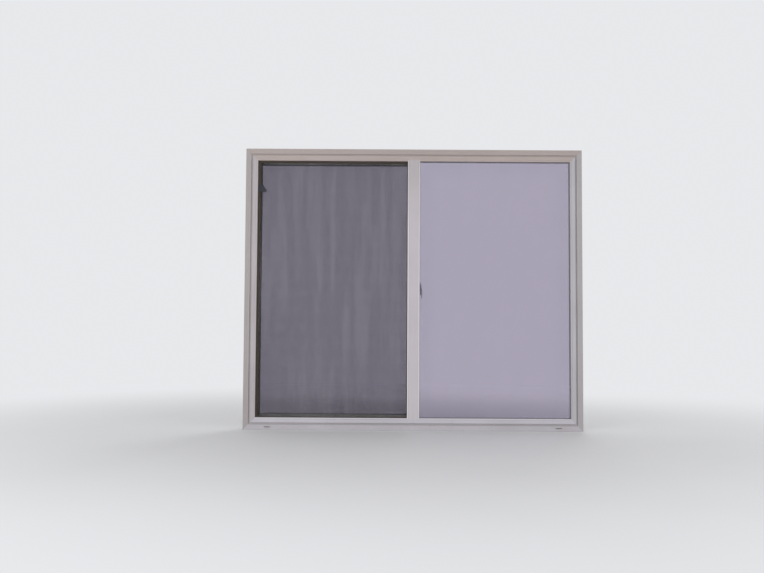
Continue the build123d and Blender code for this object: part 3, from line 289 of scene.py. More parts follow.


# %% [markdown]
# ## Extruded vinyl
# The frame, the sash and the beads are white vinyl powder with a pigment, pushed hot through a
# steel die. The outdoor side has a clay-grey skin, and what lies deeper is paler; that paler colour
# is lightened further as painted light, against the shade on the sash and beads behind the screen
# and the glass. The die leaves faint straight lines along the profile, sun and rain chalk the
# surface in slow clouds, and dust stays where nobody wipes. The corners are cut at 45 degrees,
# melted together and scraped, which leaves a thin sunken line. A photograph could give all this,
# but it would only fit one length. Patterns on the object's own coordinates fit every length and
# every side, so the die lines are noise that is stretched along the profile, and the weld is the
# line where the distances to two edges are equal.

# %% Clean and weathered vinyl, with painted light and shade
CLAY, CHALK = (0.455, 0.430, 0.450), (0.490, 0.464, 0.488)
# The inner colours are paler, and lightened further as painted light.
INNER_LIGHTENED, INNER_LIGHTENED_PALE = (0.660, 0.638, 0.642), (0.690, 0.668, 0.672)
# A lighter colour, which paints light.
PAINTED_LIGHT_VINYL = (0.630, 0.605, 0.625)
# The colour of dust, and of painted shade on the vinyl.
DUST_AND_SHADE = (0.300, 0.275, 0.262)
UNTINTED = (1.0, 1.0, 1.0)
SKIN_DEPTH, SKIN_FADE = 0.040, 0.004        # from the front plane to where the skin ends
CLOUD, SPECK, RUN, SHADE_PATCH = 0.21, 0.0042, 0.012, 0.03
RUN_STRETCH = (1, 1, 14)
DIE_LINE, DIE_LINE_SHARE = 0.0011, 0.25
DIE_STRETCH = {"X": (60, 1, 1), "Z": (1, 1, 60)}
VINYL_RELIEF = 0.00016
WELD_WIDTH, WELD_DEPTH_SHARE, WELD_DIRT = 0.0012, 0.8, 0.35
# The most that dust and painted shade darken together.
MOST_DIRT_AND_SHADE = 0.8


class Vinyl(Finish):
    """An extruded profile with slow clouds and light dirt. Its methods add painted light, painted shade and
    what else it shows.
    """

    def __init__(self, name, along, tint=UNTINTED):
        super().__init__(name, {"Specular IOR Level": 0.4})
        self.x, self.y, self.z = self.axes()
        skin_end = front_plane + SKIN_DEPTH
        self.outdoors = 1 - self.step(self.y, skin_end - SKIN_FADE, skin_end + SKIN_FADE)
        self.clouds = self.noise(CLOUD, 3)
        patch = self.step(self.clouds, 0.35, 0.7)
        clay, chalk = (tuple(a * b for a, b in zip(shade, tint)) for shade in (CLAY, CHALK))
        inner_lightened = self.mix(patch, INNER_LIGHTENED, INNER_LIGHTENED_PALE)
        self.colour = self.mix(self.outdoors, inner_lightened, self.mix(patch, clay, chalk))
        specks = self.step(self.noise(SPECK, 1), 0.70, 0.78)
        runs = self.step(self.noise(RUN, 2, RUN_STRETCH), 0.52, 0.8)
        self.dirt_and_shade = specks * 0.10 + runs * 0.10
        self.height = self.noise(DIE_LINE, 2, DIE_STRETCH[along]) * DIE_LINE_SHARE

    def paint_light(self, mask, share):
        """Painted light: where the mask is 1, the colour goes this share of the way to a lighter one."""
        self.colour = self.mix(mask * share, self.colour, PAINTED_LIGHT_VINYL)

    def paint_shade(self, mask, least, most):
        """Painted shade lies where the mask is 1, in patches between the two shares."""
        self.dirt_and_shade = self.dirt_and_shade + mask * (least + self.noise(SHADE_PATCH, 3) * (most - least))

    def weld(self, edges):
        """A sunken line at each corner, where the distances to two edges are equal."""
        from_side, from_level = distance_in(self, edges)
        line = self.band(from_side - from_level, 0.0, WELD_WIDTH)
        self.height = self.height - line * WELD_DEPTH_SHARE
        self.dirt_and_shade = self.dirt_and_shade + line * WELD_DIRT
        return self

    def done(self):
        """Lays the dirt and the painted shade on the outdoor side, where both also dull the shine."""
        dirt_and_shade = self.dirt_and_shade.least(MOST_DIRT_AND_SHADE) * self.outdoors
        colour = self.mix(dirt_and_shade, self.colour, DUST_AND_SHADE)
        return self.paint(colour, 0.36 + self.clouds * 0.14 + dirt_and_shade * 0.35, self.height, VINYL_RELIEF)


# %% [markdown]
# The four sides of the frame get painted light and shade: the sill is painted lighter and cool in
# colour, the head darker and browner, with painted shade and a warm painted light, and the jambs
# have painted shade along their outer edge, the left one most. The recess gets painted shade, and
# the strip beside the glass a painted highlight. Four recipes could say so, but they would differ
# in a few numbers only, so one function takes these from a table. It tells the bands of the
# profile apart by how far in a point is from the frame's edges: first the outer band, then the
# recess, and last the rounded strip beside the glass.

# %% The frame's four profiles
RECESS_FROM, RECESS_TO = 0.028, 0.038
STRIP_FROM = 0.0565
SOFT_EDGE, SHARP_EDGE = 0.004, 0.0003
SHADE_SPREAD = 0.22

# For each side: the axis that it runs along, its colour as a multiple of the common one, which
# paints its light and shade, the shares of painted shade on the outer band and in the recess, and
# how far the strip is lightened as a painted highlight.
FRAME_LIGHT_AND_SHADE = {
    "frame_sill": ("X", (0.995, 1.015, 1.06), 0.16, 0.30, 0.3),
    "frame_head": ("X", (0.82, 0.735, 0.665), 0.26, 0.18, 0.05),
    "frame_jamb_left": ("Z", (0.84, 0.82, 0.81), 0.50, 0.0, 0.1),
    "frame_jamb_right": ("Z", (0.88, 0.90, 0.91), 0.38, 0.06, 0.05),
}


def frame_vinyl(name, along, tint, outer_shade, recess_shade, strip_highlight):
    """Inwards is the smaller of the two distances in, and each band is a soft step on it."""
    finish = Vinyl(name, along, tint)
    from_side, from_level = distance_in(finish, frame_outline)
    inwards = from_side.least(from_level)
    recess = finish.band(inwards, (RECESS_FROM + RECESS_TO) / 2, RECESS_TO - RECESS_FROM)
    outer = 1 - finish.step(inwards, RECESS_FROM - SOFT_EDGE, RECESS_FROM)
    strip = finish.step(inwards, STRIP_FROM - SHARP_EDGE, STRIP_FROM + SHARP_EDGE)
    # Painted light and shade: a painted highlight on the strip, and painted shade in patches in the recess
    # and on the outer band.
    finish.paint_light(strip, strip_highlight)
    finish.paint_shade(recess, recess_shade, recess_shade + SHADE_SPREAD)
    finish.paint_shade(outer, outer_shade, outer_shade + SHADE_SPREAD)
    return finish.weld(frame_outline).done()


for node, light_and_shade in FRAME_LIGHT_AND_SHADE.items():
    wear(frame_vinyl(f"vinyl_{node}", *light_and_shade), node)

# %% [markdown]
# The meeting stile stands between the two lites. Its edges get painted highlights, its foot is
# painted lighter and its top gets painted shade. The masks for this are soft steps on the height
# and on the distance from the middle. The sash, the beads and the screen's track are sheltered by
# glass or screen, so they are plain vinyl: one finish for what lies level, and one for what stands
# upright, because the die lines run along each profile. Of these, only the sash is welded.

# %% The meeting stile, the sash and the beads
# Width of the painted highlights on the edges, and heights of the painted light at the foot and the painted
# shade at the top.
HIGHLIGHT_EDGE = 0.006
LIT_FOOT_FULL, LIT_FOOT_END = 0.1, 0.6          # heights above the sill's underside
SHADED_TOP_FROM, SHADED_TOP_FULL = 0.45, 0.05             # distances below the frame's top


def meeting_stile_vinyl():
    """Painted highlights beyond the edge on either side, painted light towards the foot, and painted shade
    towards the top.
    """
    finish = Vinyl("vinyl_meeting_stile", "Z", (0.98, 0.965, 0.98))
    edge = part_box("meeting_stile")[1].x - HIGHLIGHT_EDGE
    top = frame_outline[3]
    finish.paint_light(1 - finish.step(finish.z, LIT_FOOT_FULL, LIT_FOOT_END), 0.25)
    finish.paint_light(finish.step(-1 * finish.x, edge - SHARP_EDGE, edge + SHARP_EDGE), 1.0)
    finish.paint_light(finish.step(finish.x, edge - SHARP_EDGE, edge + SHARP_EDGE), 0.8)
    finish.paint_shade(finish.step(finish.z, top - SHADED_TOP_FROM, top - SHADED_TOP_FULL), 0.25, 0.45)
    return finish.done()


wear(meeting_stile_vinyl(), "meeting_stile")
wear(Vinyl("vinyl_sash_level", "X").weld(sash_outline).done(), "sash_rail_bottom", "sash_rail_top")
wear(Vinyl("vinyl_sash_upright", "Z").weld(sash_outline).done(), "sash_stile_outer", "sash_stile_meeting")
wear(
    Vinyl("vinyl_bead_level", "X").done(),
    "fixed_bead_sill", "fixed_bead_head", "sash_bead_bottom", "sash_bead_top",
)
wear(
    Vinyl("vinyl_bead_upright", "Z").done(),
    "fixed_bead_jamb", "sash_bead_outer", "sash_bead_meeting", "screen_track",
)

# %% [markdown]
# ## Moulded plastics
# The drain covers are the same grey vinyl, but moulded, so they have the fine even grain of a
# spark-eroded mould in place of die lines, and their mouths get painted shade. The roller
# housings, the screen's corner keys and its pull tab are black nylon, the stops are grey nylon,
# and the wheels are turned from acetal, which is a smooth, waxy white. One function serves all: a
# grain, slow clouds, a little dust, and painted shade in a mouth.

# %% Moulded plastics
MOULD_CLOUD, MOULD_DUST = 0.03, 0.006
MOUTH_FROM, MOUTH_FULL = 0.0002, 0.0012     # behind the covers' front
# Painted shade inside the covers' mouths.
MOUTH_SHADE = (0.035, 0.032, 0.030)


def moulded(name, dark, pale, roughness, grain, relief, dusty=0.25, mouth=None):
    """Clouds between two colours, dust over them, and painted shade on what lies behind the mouth."""
    finish = Finish(name, {})
    fine = finish.noise(grain, 2)
    clouds = finish.noise(MOULD_CLOUD, 3)
    dust = finish.step(finish.noise(MOULD_DUST, 4), 0.55, 0.75) * dusty
    colour = finish.mix(clouds, dark, pale)
    colour = finish.mix(dust, colour, DUST_AND_SHADE)
    if mouth is not None:
        inside = finish.step(finish.axes()[1], mouth + MOUTH_FROM, mouth + MOUTH_FULL)
        colour = finish.mix(inside, colour, MOUTH_SHADE)
    return finish.paint(colour, roughness + fine * 0.12 + dust * 0.3, fine, relief)


cover_vinyl = moulded(
    "vinyl_moulding", (0.40, 0.38, 0.39), (0.45, 0.43, 0.44), 0.42, 0.0006, 0.00006,
    dusty=0.3, mouth=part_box("weep_covers")[0].y,
)
wear(cover_vinyl, "weep_covers")
wear(
    moulded("black_nylon", (0.010, 0.011, 0.015), (0.026, 0.028, 0.038), 0.36, 0.0005, 0.00008, 0.06),
    "screen_corner_keys", "screen_pull_tab", "roller_housing_left", "roller_housing_right",
)
wear(
    moulded("grey_nylon", (0.30, 0.30, 0.30), (0.38, 0.38, 0.375), 0.45, 0.0006, 0.00008),
    "sash_stops", "anti_lift_blocks",
)
wear(
    moulded("acetal", (0.60, 0.59, 0.55), (0.70, 0.69, 0.65), 0.24, 0.0004, 0.00003),
    "roller_wheel_1", "roller_wheel_2", "roller_wheel_3", "roller_wheel_4",
)

# %% [markdown]
# ## Glass
# Each lite is two panes of float glass with a coating that cuts the sun, so together they let
# through less than half of the light and look faintly lavender. Glass could be faked with a
# see-through colour, but then its edges wouldn't darken and its faces wouldn't shine at a
# glancing angle. A solid pane with transmission does both. Its faces are a little dusty near the
# edges, where wiping doesn't reach. A ray that is sent straight to a lamp can't bend its way
# through a solid pane, which would leave a black shadow behind it. So for those rays alone each
# face is a plain tinted opening, and since a pane has two faces, one face has the root of the tint.

# %% Float glass
COATED_GLASS = (0.689, 0.658, 0.733)
FILM = (0.52, 0.52, 0.58)
FILM_CLOUD, FILM_STRETCH = 0.09, (1, 1, 3)
WIPED_FROM, WIPED_FULL = 0.02, 0.12         # distances in from the pane's edge


def float_glass(name, edges):
    """Tinted glass under a film, which is three tenths as strong where the pane is wiped."""
    finish = Finish(name, {"Transmission Weight": 1.0, "IOR": 1.5})
    from_side, from_level = distance_in(finish, edges)
    wiped = finish.step(from_side.least(from_level), WIPED_FROM, WIPED_FULL)
    film = finish.noise(FILM_CLOUD, 4, FILM_STRETCH) * (1 - wiped * 0.7)
    finish.paint(finish.mix(film * 0.22, COATED_GLASS, FILM), film * 0.06)
    one_face = tuple(math.sqrt(part) for part in COATED_GLASS)
    opening = finish.add("ShaderNodeBsdfTransparent", {}, {"Color": one_face}, "BSDF")
    to_lamp = finish.add("ShaderNodeLightPath", {}, {}, "Is Shadow Ray")
    return finish.blend_shader(to_lamp, opening)


wear(float_glass("fixed_glass", outline("fixed_pane_outer")), "fixed_pane_outer", "fixed_pane_inner")
wear(float_glass("sash_glass", outline("sash_pane_outer")), "sash_pane_outer", "sash_pane_inner")

# %% [markdown]
# ## Rubber and sealant
# The glazing rubber is extruded in grey, to suit the vinyl. The spline that holds the screen's
# cloth and the blocks under the glass are black, and all of it has bloomed with a grey haze. The
# sealant behind the spacer is tooled by hand, so it is lumpier and shinier. One function with
# another size of lump does for all of them.

# %% Rubber and sealant
BLOOM = (0.16, 0.155, 0.15)
BLOOM_CLOUD = 0.02
RUBBER_RELIEF = 0.0002


def rubber(name, colour, roughness, lump):
    """One colour with patches of bloom, which also dull it, and lumps of a given size."""
    finish = Finish(name, {"Specular IOR Level": 0.35})
    lumps = finish.noise(lump, 3)
    bloom = finish.step(finish.noise(BLOOM_CLOUD, 4), 0.45, 0.8) * 0.18
    return finish.paint(finish.mix(bloom, colour, BLOOM), roughness + bloom, lumps, RUBBER_RELIEF)


wear(rubber("screen_spline_rubber", (0.016, 0.016, 0.017), 0.52, 0.002), "screen_spline")
wear(rubber("glazing_rubber", (0.22, 0.215, 0.22), 0.55, 0.002), "fixed_gasket", "sash_gasket")
wear(
    rubber("setting_block_rubber", (0.028, 0.028, 0.028), 0.6, 0.003),
    "fixed_setting_blocks", "sash_setting_blocks",
)
wear(rubber("edge_sealant", (0.012, 0.012, 0.013), 0.32, 0.006), "fixed_edge_seal", "sash_edge_seal")

# %% [markdown]
# ## Spacer
# The spacer between the panes is a folded aluminium strip with a row of small slots towards the
# gap, through which its drying beads take up damp. The slots are too small to be worth modelling,
# so they are a pattern: dark dashes every five millimetres along the middle of the strip. A dash
# is where the fraction of a point's place along the strip, counted in dashes, is over a threshold.
# The strip runs along X or along Z, so the sum of the two counts along either run.

# %% Spacer
DASHES_PER_METRE = 200
DASH_LINE = 0.0008
STRIP_METAL, SLOT_DARK = (0.74, 0.74, 0.75), (0.10, 0.10, 0.10)


def spacer_strip(name, node):
    """A slot is where a dash along the strip crosses the line along its middle."""
    finish = Finish(name, {"Metallic": 0.3})
    x, y, z = finish.axes()
    low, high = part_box(node)
    dashes = finish.step(((x + z) * DASHES_PER_METRE).fraction(), 0.55, 0.62)
    slots = dashes * finish.band(y, (low.y + high.y) / 2, DASH_LINE)
    grain = finish.noise(0.0015, 2, (8, 1, 8))
    return finish.paint(finish.mix(slots, STRIP_METAL, SLOT_DARK), 0.42 + grain * 0.2, 1 - slots, 0.0003)


wear(spacer_strip("fixed_spacer_strip", "fixed_spacer"), "fixed_spacer")
wear(spacer_strip("sash_spacer_strip", "sash_spacer"), "sash_spacer")

# %% [markdown]
# ## Bare metals
# The roller track, the head guide and the tube inside the meeting stile are extruded aluminium
# without a finish. Screws, springs, axles and the lock's cam are steel with a thin coat of zinc.
# Both are metals, so their colour is what they reflect, and the detail is in their roughness:
# straight die lines on the aluminium, a soft bluish crystal pattern on the zinc.

# %% Bare metals
CRYSTALS_PER_METRE = 700


def mill_aluminium(name, stretch):
    """Clouds between two greys, and die lines that roughen and raise the surface."""
    finish = Finish(name, {"Metallic": 1.0})
    lines = finish.noise(0.0008, 2, stretch)
    clouds = finish.noise(0.02, 3)
    colour = finish.mix(clouds, (0.62, 0.62, 0.63), (0.74, 0.74, 0.74))
    return finish.paint(colour, 0.28 + lines * 0.2, lines, 0.00006)


def zinc_plate(name):
    """Haze between two greys, and cells that rise and roughen away from their middles."""
    finish = Finish(name, {"Metallic": 1.0})
    sockets = {"Vector": finish.place, "Scale": CRYSTALS_PER_METRE}
    crystals = finish.add("ShaderNodeTexVoronoi", {}, sockets, "Distance")
    haze = finish.noise(0.004, 3)
    colour = finish.mix(haze, (0.50, 0.51, 0.54), (0.66, 0.66, 0.65))
    return finish.paint(colour, 0.26 + crystals * 0.2 + haze * 0.1, crystals, 0.00003)


wear(mill_aluminium("mill_aluminium_level", DIE_STRETCH["X"]), "roller_track", "head_guide")
wear(mill_aluminium("mill_aluminium_upright", DIE_STRETCH["Z"]), "meeting_stile_stiffener")
wear(
    zinc_plate("zinc_plated_steel"),
    "meeting_stile_screws", "screen_springs", "lock_keeper_screws", "lock_screws", "lock_cam", "roller_axles",
)

# %% [markdown]
# ## Painted metal
# The screen's bars are rolled from thin aluminium, painted dark bronze before they are shaped.
# They are cut at 45 degrees and pushed onto corner keys, so a hairline stays open at each corner.
# A real gap of that width would only cost faces, so it is a dark sunken line in the paint.
# The lock and its keeper are cast zinc with enamel in the colour of the paler inner vinyl, which is
# lightened as painted light: smoother than the vinyl, with a clear shine, and rubbed where a thumb
# turns the lever.

# %% Painted metal
BRONZE, BRONZE_DUST, OPEN_JOINT = (0.046, 0.034, 0.024), (0.17, 0.15, 0.12), (0.006, 0.006, 0.006)
JOINT_WIDTH = 0.0005
RUBBED_ENAMEL = (0.76, 0.74, 0.735)


def bronze_paint(name, edges):
    """Dust over bronze, and a dark sunken joint where the distances to two edges are equal."""
    finish = Finish(name, {"Specular IOR Level": 0.32})
    orange_peel = finish.noise(0.0025, 2)
    dust = finish.step(finish.noise(0.02, 4), 0.45, 0.8) * 0.12
    from_side, from_level = distance_in(finish, edges)
    joint = finish.band(from_side - from_level, 0.0, JOINT_WIDTH)
    colour = finish.mix(joint, finish.mix(dust, BRONZE, BRONZE_DUST), OPEN_JOINT)
    return finish.paint(colour, 0.36 + dust * 1.5, orange_peel * 0.2 - joint, 0.0002)


def lock_enamel(name):
    """Halfway to the rubbed colour, and smoother, where the enamel is rubbed."""
    finish = Finish(name, {"Coat Roughness": 0.12, "Coat Weight": 0.4})
    orange_peel = finish.noise(0.003, 2)
    rubbed = finish.step(finish.noise(0.012, 3), 0.5, 0.75)
    # The enamel takes the paler inner vinyl colour, which is lightened as painted light.
    colour = finish.mix(rubbed * 0.5, INNER_LIGHTENED_PALE, RUBBED_ENAMEL)
    return finish.paint(colour, 0.34 - rubbed * 0.12, orange_peel, 0.00006)


wear(
    bronze_paint("bronze_paint", screen_outline),
    "screen_bar_left", "screen_bar_right", "screen_bar_top", "screen_bar_bottom",
)
wear(lock_enamel("lock_enamel"), "lock_case", "lock_lever", "lock_keeper")

# %% [markdown]
# ## Meshes from arrays
# New pieces are computed as whole arrays of points and faces, and handed to Blender array by
# array. A closed bar is the simplest: a ring of points at each end, a strip of quads between the
# rings, and a cap on each end. Many bars are the same bar shifted, so their points are one array
# with one more axis.

# %% Mesh helpers


def new_piece(name, points, quads, material, body):
    """Puts points (n, 3) and quads (m, 4) into a mesh object that moves with a body."""
    mesh = bpy.data.meshes.new(name)
    mesh.vertices.add(len(points))
    mesh.vertices.foreach_set("co", points.astype(np.float32).ravel())
    mesh.loops.add(quads.size)
    mesh.loops.foreach_set("vertex_index", quads.astype(np.int32).ravel())
    mesh.polygons.add(len(quads))
    mesh.polygons.foreach_set("loop_start", np.arange(0, quads.size, quads.shape[1], dtype=np.int32))
    mesh.update(calc_edges=True)
    mesh.validate()
    mesh.materials.append(material)
    piece = bpy.data.objects.new(name, mesh)
    scene.collection.objects.link(piece)
    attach(piece, body)
    print(name, len(quads) * (quads.shape[1] - 2), "triangles")
    return piece


def tube_quads(stations, around):
    """Quads of a closed skin over rings of points: ring r, point p is number r * around + p."""
    ring, point = np.meshgrid(np.arange(stations - 1), np.arange(around), indexing="ij")
    here = ring * around + point
    beside = ring * around + (point + 1) % around
    return np.stack([here, beside, beside + around, here + around], -1).reshape(-1, 4)


# %% [markdown]
# ## The insect screen
# The cloth is glass-fibre yarn in a charcoal coat, woven about 18 to the inch and then heated, so
# the yarns stick where they cross. From the camera one yarn is far thinner than a pixel, and only
# the darkening shows. A see-through sheet could fake that, but up close it would be a flat film.
# Real yarns are cheap enough if each is one straight six-sided bar: the upright ones lie just in
# front of the level ones and run into them, as the fused crossings do. Rolled into the screen's
# groove, the cloth is stretched flat.

# %% Screen cloth
YARN = 0.00050
YARN_PITCH = 0.0014
YARN_SIDES = 6
CROSSING_OFFSET = 0.00005
CHARCOAL, CHARCOAL_DUST = (0.026, 0.025, 0.027), (0.125, 0.122, 0.128)


def yarn_finish():
    """Charcoal coat with dust in upright waves."""
    finish = Finish("charcoal_yarn", {"Specular IOR Level": 0.4})
    waves = finish.noise(0.05, 2, (1, 1, 9))
    dust = finish.step(waves, 0.42, 0.72) * 0.5
    ribs = finish.noise(0.0003, 1)
    return finish.paint(finish.mix(dust, CHARCOAL, CHARCOAL_DUST), 0.42 + dust * 0.3, ribs, 0.00003)


def yarns(low, high, y, along):
    """Straight six-sided bars that fill a rectangle, one every pitch.

    Bar n runs along one axis at low + margin + n * pitch on the other, where the margin puts the
    bars in the middle. Its section is a hexagon, (cos t, sin t) * YARN / 2 for six angles t.
    """
    across = 1 - along
    count = int((high[across] - low[across]) / YARN_PITCH)
    margin = (high[across] - low[across] - (count - 1) * YARN_PITCH) / 2
    centres = low[across] + margin + YARN_PITCH * np.arange(count)
    angles = 2 * np.pi / YARN_SIDES * np.arange(YARN_SIDES)
    points = np.zeros((count, 2, YARN_SIDES, 3))
    axis, side = (0, 2) if along == 0 else (2, 0)
    points[:, 0, :, axis] = low[along]
    points[:, 1, :, axis] = high[along]
    points[..., side] = centres[:, None, None] + np.cos(angles) * YARN / 2
    points[..., 1] = y + np.sin(angles) * YARN / 2
    caps = np.array([[0, 3, 2, 1], [0, 5, 4, 3], [6, 7, 8, 9], [6, 9, 10, 11]])
    quads = np.concatenate([tube_quads(2, YARN_SIDES), caps])
    if along == 0:
        quads = quads[:, ::-1]
    quads = (quads[None] + 2 * YARN_SIDES * np.arange(count)[:, None, None]).reshape(-1, 4)
    return points.reshape(-1, 3), quads


cloth_low, cloth_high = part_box("screen_cloth")
cloth_y = (cloth_low.y + cloth_high.y) / 2
corner_low, corner_high = (cloth_low.x, cloth_low.z), (cloth_high.x, cloth_high.z)
upright_points, upright_quads = yarns(corner_low, corner_high, cloth_y - CROSSING_OFFSET, 1)
level_points, level_quads = yarns(corner_low, corner_high, cloth_y + CROSSING_OFFSET, 0)
cloth = new_piece(
    "insect_screen",
    np.concatenate([upright_points, level_points]),
    np.concatenate([upright_quads, level_quads + len(upright_points)]),
    yarn_finish(),
    "frame",
)
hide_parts("screen_cloth")

# %% [markdown]
# ## Brush seals
# Along the sash's edges runs a strip of dense nylon pile, which keeps the wind out and lets the
# sash slide. Single fibres would be hundreds of thousands, and hair would not export. A pile is
# seen as a soft ridge whose top and sides are broken into tufts, so each strip is one closed skin
# around a rounded section, and its points are pushed out and in by two waves of unequal length.

# %% A strip of pile
TUFT_STEP = 0.0007
TUFT_WAVES, TUFT_SHIFT = (0.0031, 0.0019), 1.3
TUFT_HEIGHT, TUFT_WIDTH = 0.14, 0.1         # how far the tufts break the top and the sides
SECTION_UP = np.array([0.0, 0.55, 0.95, 0.95, 0.55, 0.0])
SECTION_SIDE = np.array([-0.5, -0.5, -0.22, 0.22, 0.5, 0.5])


def pile_finish():
    """Fibres are fine noise between two greys, and raise the surface as well."""
    finish = Finish("brush_pile", {"Sheen Weight": 0.4, "Sheen Roughness": 0.5})
    fibres = finish.noise(0.0006, 2)
    colour = finish.mix(fibres, (0.09, 0.09, 0.092), (0.24, 0.24, 0.24))
    return finish.paint(colour, 0.85, fibres, 0.0003)


def pile_strip(start, end, out, height, width):
    """A ridge of pile from start to end, that stands up along out.

    Ring s holds six points of a half-round section: base, side and top on either hand. A point
    stands up by height times its share in SECTION_UP, less TUFT_HEIGHT of that where tuft is 0,
    and aside in the same way. Tuft is the mean of two sine waves along the strip, from 0 to 1.
    """
    start, end, out = (np.array(v, float) for v in (start, end, out))
    length = np.linalg.norm(end - start)
    along = (end - start) / length
    side = np.cross(along, out)
    s = np.linspace(0, length, max(3, int(length / TUFT_STEP)))
    turns = [2 * np.pi * s / wave for wave in TUFT_WAVES]
    tuft = (np.sin(turns[0]) + np.sin(turns[1] + TUFT_SHIFT)) / 4 + 0.5
    lift = height * SECTION_UP * (1 - TUFT_HEIGHT + TUFT_HEIGHT * tuft[:, None])
    spread = width * SECTION_SIDE * (1 - TUFT_WIDTH + TUFT_WIDTH * tuft[:, None])
    middle = start + s[:, None] * along
    points = middle[:, None] + lift[..., None] * out + spread[..., None] * side
    first_cap = np.array([[0, 5, 4, 1], [1, 4, 3, 2]])
    last_cap = np.array([[0, 1, 4, 5], [1, 2, 3, 4]]) + 6 * (len(s) - 1)
    return points.reshape(-1, 3), np.concatenate([tube_quads(len(s), 6), first_cap, last_cap])


def pile_piece(name, strips, body, node):
    """Several strips as one piece, in place of a plain solid."""
    points, quads, count = [], [], 0
    for strip in strips:
        strip_points, strip_quads = pile_strip(*strip)
        points.append(strip_points)
        quads.append(strip_quads + count)
        count += len(strip_points)
    piece = new_piece(name, np.concatenate(points), np.concatenate(quads), brush_pile, body)
    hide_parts(node)


# %% [markdown]
# The sash has strips in its outer face and in its room face, along the top, the bottom and the
# outer stile. The upright ones end one pile width from the middle of the level ones, so that they
# don't run into them. The meeting stile has one more strip on its back, towards the shut sash.

# %% Brush seals in place
PILE_WIDTH = 0.0026
PILE_AT = 0.006                             # from the sash's edge to the middle of the pile

brush_pile = pile_finish()
sash_front, sash_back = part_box("sash_rail_bottom")[0].y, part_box("sash_rail_bottom")[1].y
pile_front, pile_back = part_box("sash_brushes")[0].y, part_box("sash_brushes")[1].y
left, bottom, _, top = sash_outline
near_x, far_x = left + PILE_AT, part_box("sash_brushes")[1].x - PILE_AT
low_z, high_z = bottom + PILE_AT, top - PILE_AT
sash_strips = []
for face, tip, out in ((sash_front, pile_front, (0, -1, 0)), (sash_back, pile_back, (0, 1, 0))):
    reach = abs(tip - face)
    for z in (low_z, high_z):
        sash_strips.append(((near_x, face, z), (far_x, face, z), out, reach, PILE_WIDTH))
    foot, head = (near_x, face, low_z + PILE_WIDTH), (near_x, face, high_z - PILE_WIDTH)
    sash_strips.append((foot, head, out, reach, PILE_WIDTH))
pile_piece("sash_brush_pile", sash_strips, "sash", "sash_brushes")

stile_low, stile_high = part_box("meeting_stile_brush")
stile_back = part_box("fixed_bead_sill")[1].y
middle_x = (stile_low.x + stile_high.x) / 2
foot, head = (middle_x, stile_back, stile_low.z), (middle_x, stile_back, stile_high.z)
stile_strip = (foot, head, (0, 1, 0), stile_high.y - stile_back, PILE_WIDTH)
pile_piece("meeting_stile_brush_pile", [stile_strip], "frame", "meeting_stile_brush")

# %% [markdown]
# ## Floor and background
# A wide pale floor fades into an even background, so no horizon shows through the glass. The
# background is the world's colour as the camera, mirrors and glass see it, while the light that
# falls on the window is set apart from it. The fade is a glow that the floor takes on with its
# distance from the window, for the same rays only, so that it sheds no light of its own.

# %% Floor
BACKGROUND = (0.80, 0.81, 0.83)
FLOOR_DARK, FLOOR_PALE = (0.74, 0.745, 0.76), (0.77, 0.775, 0.79)
FADE_FROM, FADE_TO = 1.2, 3.6
FLOOR_GAP = 0.0005
FLOOR_SIDES = 96
FLOOR_RADII = np.array([0.01, 1, 2, 4, 8, 16, 30])


def seen_directly(wiring):
    """1 for rays that the camera sees straight, in a mirror or through glass."""
    path = wiring.add("ShaderNodeLightPath", {}, {}).socket.node
    rays = [Wire(wiring, path.outputs[f"Is {kind} Ray"]) for kind in ("Camera", "Glossy", "Transmission")]
    return rays[0].most(rays[1]).most(rays[2])


def floor_finish():
    """The share of glow rises from 0 to 1 between two distances, for rays that are seen."""
    finish = Finish("floor", {"Specular IOR Level": 0.2})
    mottle = finish.noise(0.4, 3)
    finish.paint(finish.mix(mottle, FLOOR_DARK, FLOOR_PALE), 0.7)
    glow = finish.add("ShaderNodeEmission", {}, {"Color": BACKGROUND, "Strength": 1.0}, "Emission")
    distance = finish.add("ShaderNodeVectorMath", {"operation": "LENGTH"}, {0: finish.place}, "Value")
    fade = finish.step(distance, FADE_FROM, FADE_TO) * seen_directly(finish)
    return finish.blend_shader(fade, glow)


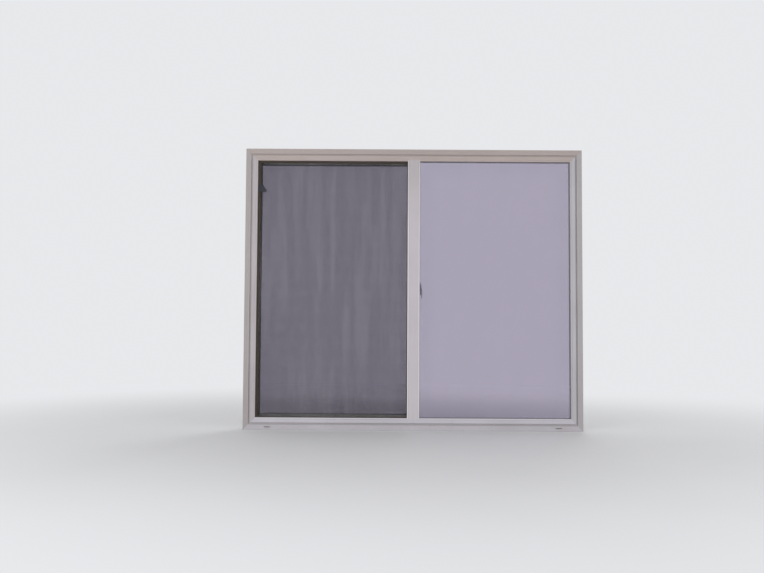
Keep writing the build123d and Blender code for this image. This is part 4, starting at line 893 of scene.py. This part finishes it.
def make_floor():
    """A disc just under the window: a point is at (r cos t, r sin t), for rings r and angles t."""
    angles = np.linspace(0, 2 * np.pi, FLOOR_SIDES, endpoint=False)
    x = FLOOR_RADII[:, None] * np.cos(angles)
    y = FLOOR_RADII[:, None] * np.sin(angles)
    points = np.stack([x, y, np.full(x.shape, cad_box[0].z - FLOOR_GAP)], -1).reshape(-1, 3)
    facing_up = tube_quads(len(FLOOR_RADII), FLOOR_SIDES)[:, ::-1]
    mesh = bpy.data.meshes.new("floor")
    mesh.from_pydata(points.tolist(), [], facing_up.tolist())
    mesh.materials.append(floor_finish())
    floor = bpy.data.objects.new("floor", mesh)
    scene.collection.objects.link(floor)


make_floor()
print("floor", 2 * FLOOR_RADII[-1], "m across")

# %% [markdown]
# ## Light
# The world gives an even light from all sides, which alone would make the profiles look flat. Soft
# lamps give them their shading: a large one in front on the left, a weaker one in front on the
# right, and one high up on the room side, for views from there. They are rectangles, so their
# shadows have soft edges, and nothing shows or mirrors the lamps themselves.

# %% World and lamps
WORLD_LIGHT = 0.62


def light_world(strength):
    """Grey of a given strength, and the background's colour for rays that are seen."""
    world = bpy.data.worlds.new("studio")
    world.use_nodes = True
    scene.world = world
    wiring = Wiring(world.node_tree)
    colour = wiring.mix(seen_directly(wiring), (strength, strength, strength), BACKGROUND)
    wiring.feed(wiring.tree.nodes["Background"].inputs["Color"], colour)


def soft_lamp(name, place, size, power):
    """A rectangle of light that faces the window's middle. Its power is in watts."""
    data = bpy.data.lights.new(name, "AREA")
    data.shape = "RECTANGLE"
    data.size, data.size_y = size
    data.energy = power
    lamp = bpy.data.objects.new(name, data)
    lamp.location = place
    target = Vector((0, 0, (cad_box[0].z + cad_box[1].z) / 2))
    lamp.rotation_euler = (target - Vector(place)).to_track_quat("-Z", "Y").to_euler()
    scene.collection.objects.link(lamp)
    lamp.visible_camera = lamp.visible_glossy = lamp.visible_transmission = False
    print(name, power, "W at", place)


light_world(WORLD_LIGHT)
soft_lamp("key", place=(-2.6, -4.4, 1.0), size=(2.4, 1.6), power=105)
soft_lamp("fill", place=(3.0, -3.8, 1.0), size=(1.8, 1.4), power=42)
soft_lamp("room_side", place=(1.8, 4.6, 2.6), size=(2.4, 2.4), power=80)

# %% [markdown]
# ## Last checks
# Every solid piece has to have a finish or a new piece in its place. The pieces without one are
# printed, because that is not easy to judge by eye.

# %% Finish
replaced = {"screen_cloth", "sash_brushes", "meeting_stile_brush"}
print("without a finish:", sorted(set(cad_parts) - set(finishes_used) - replaced))
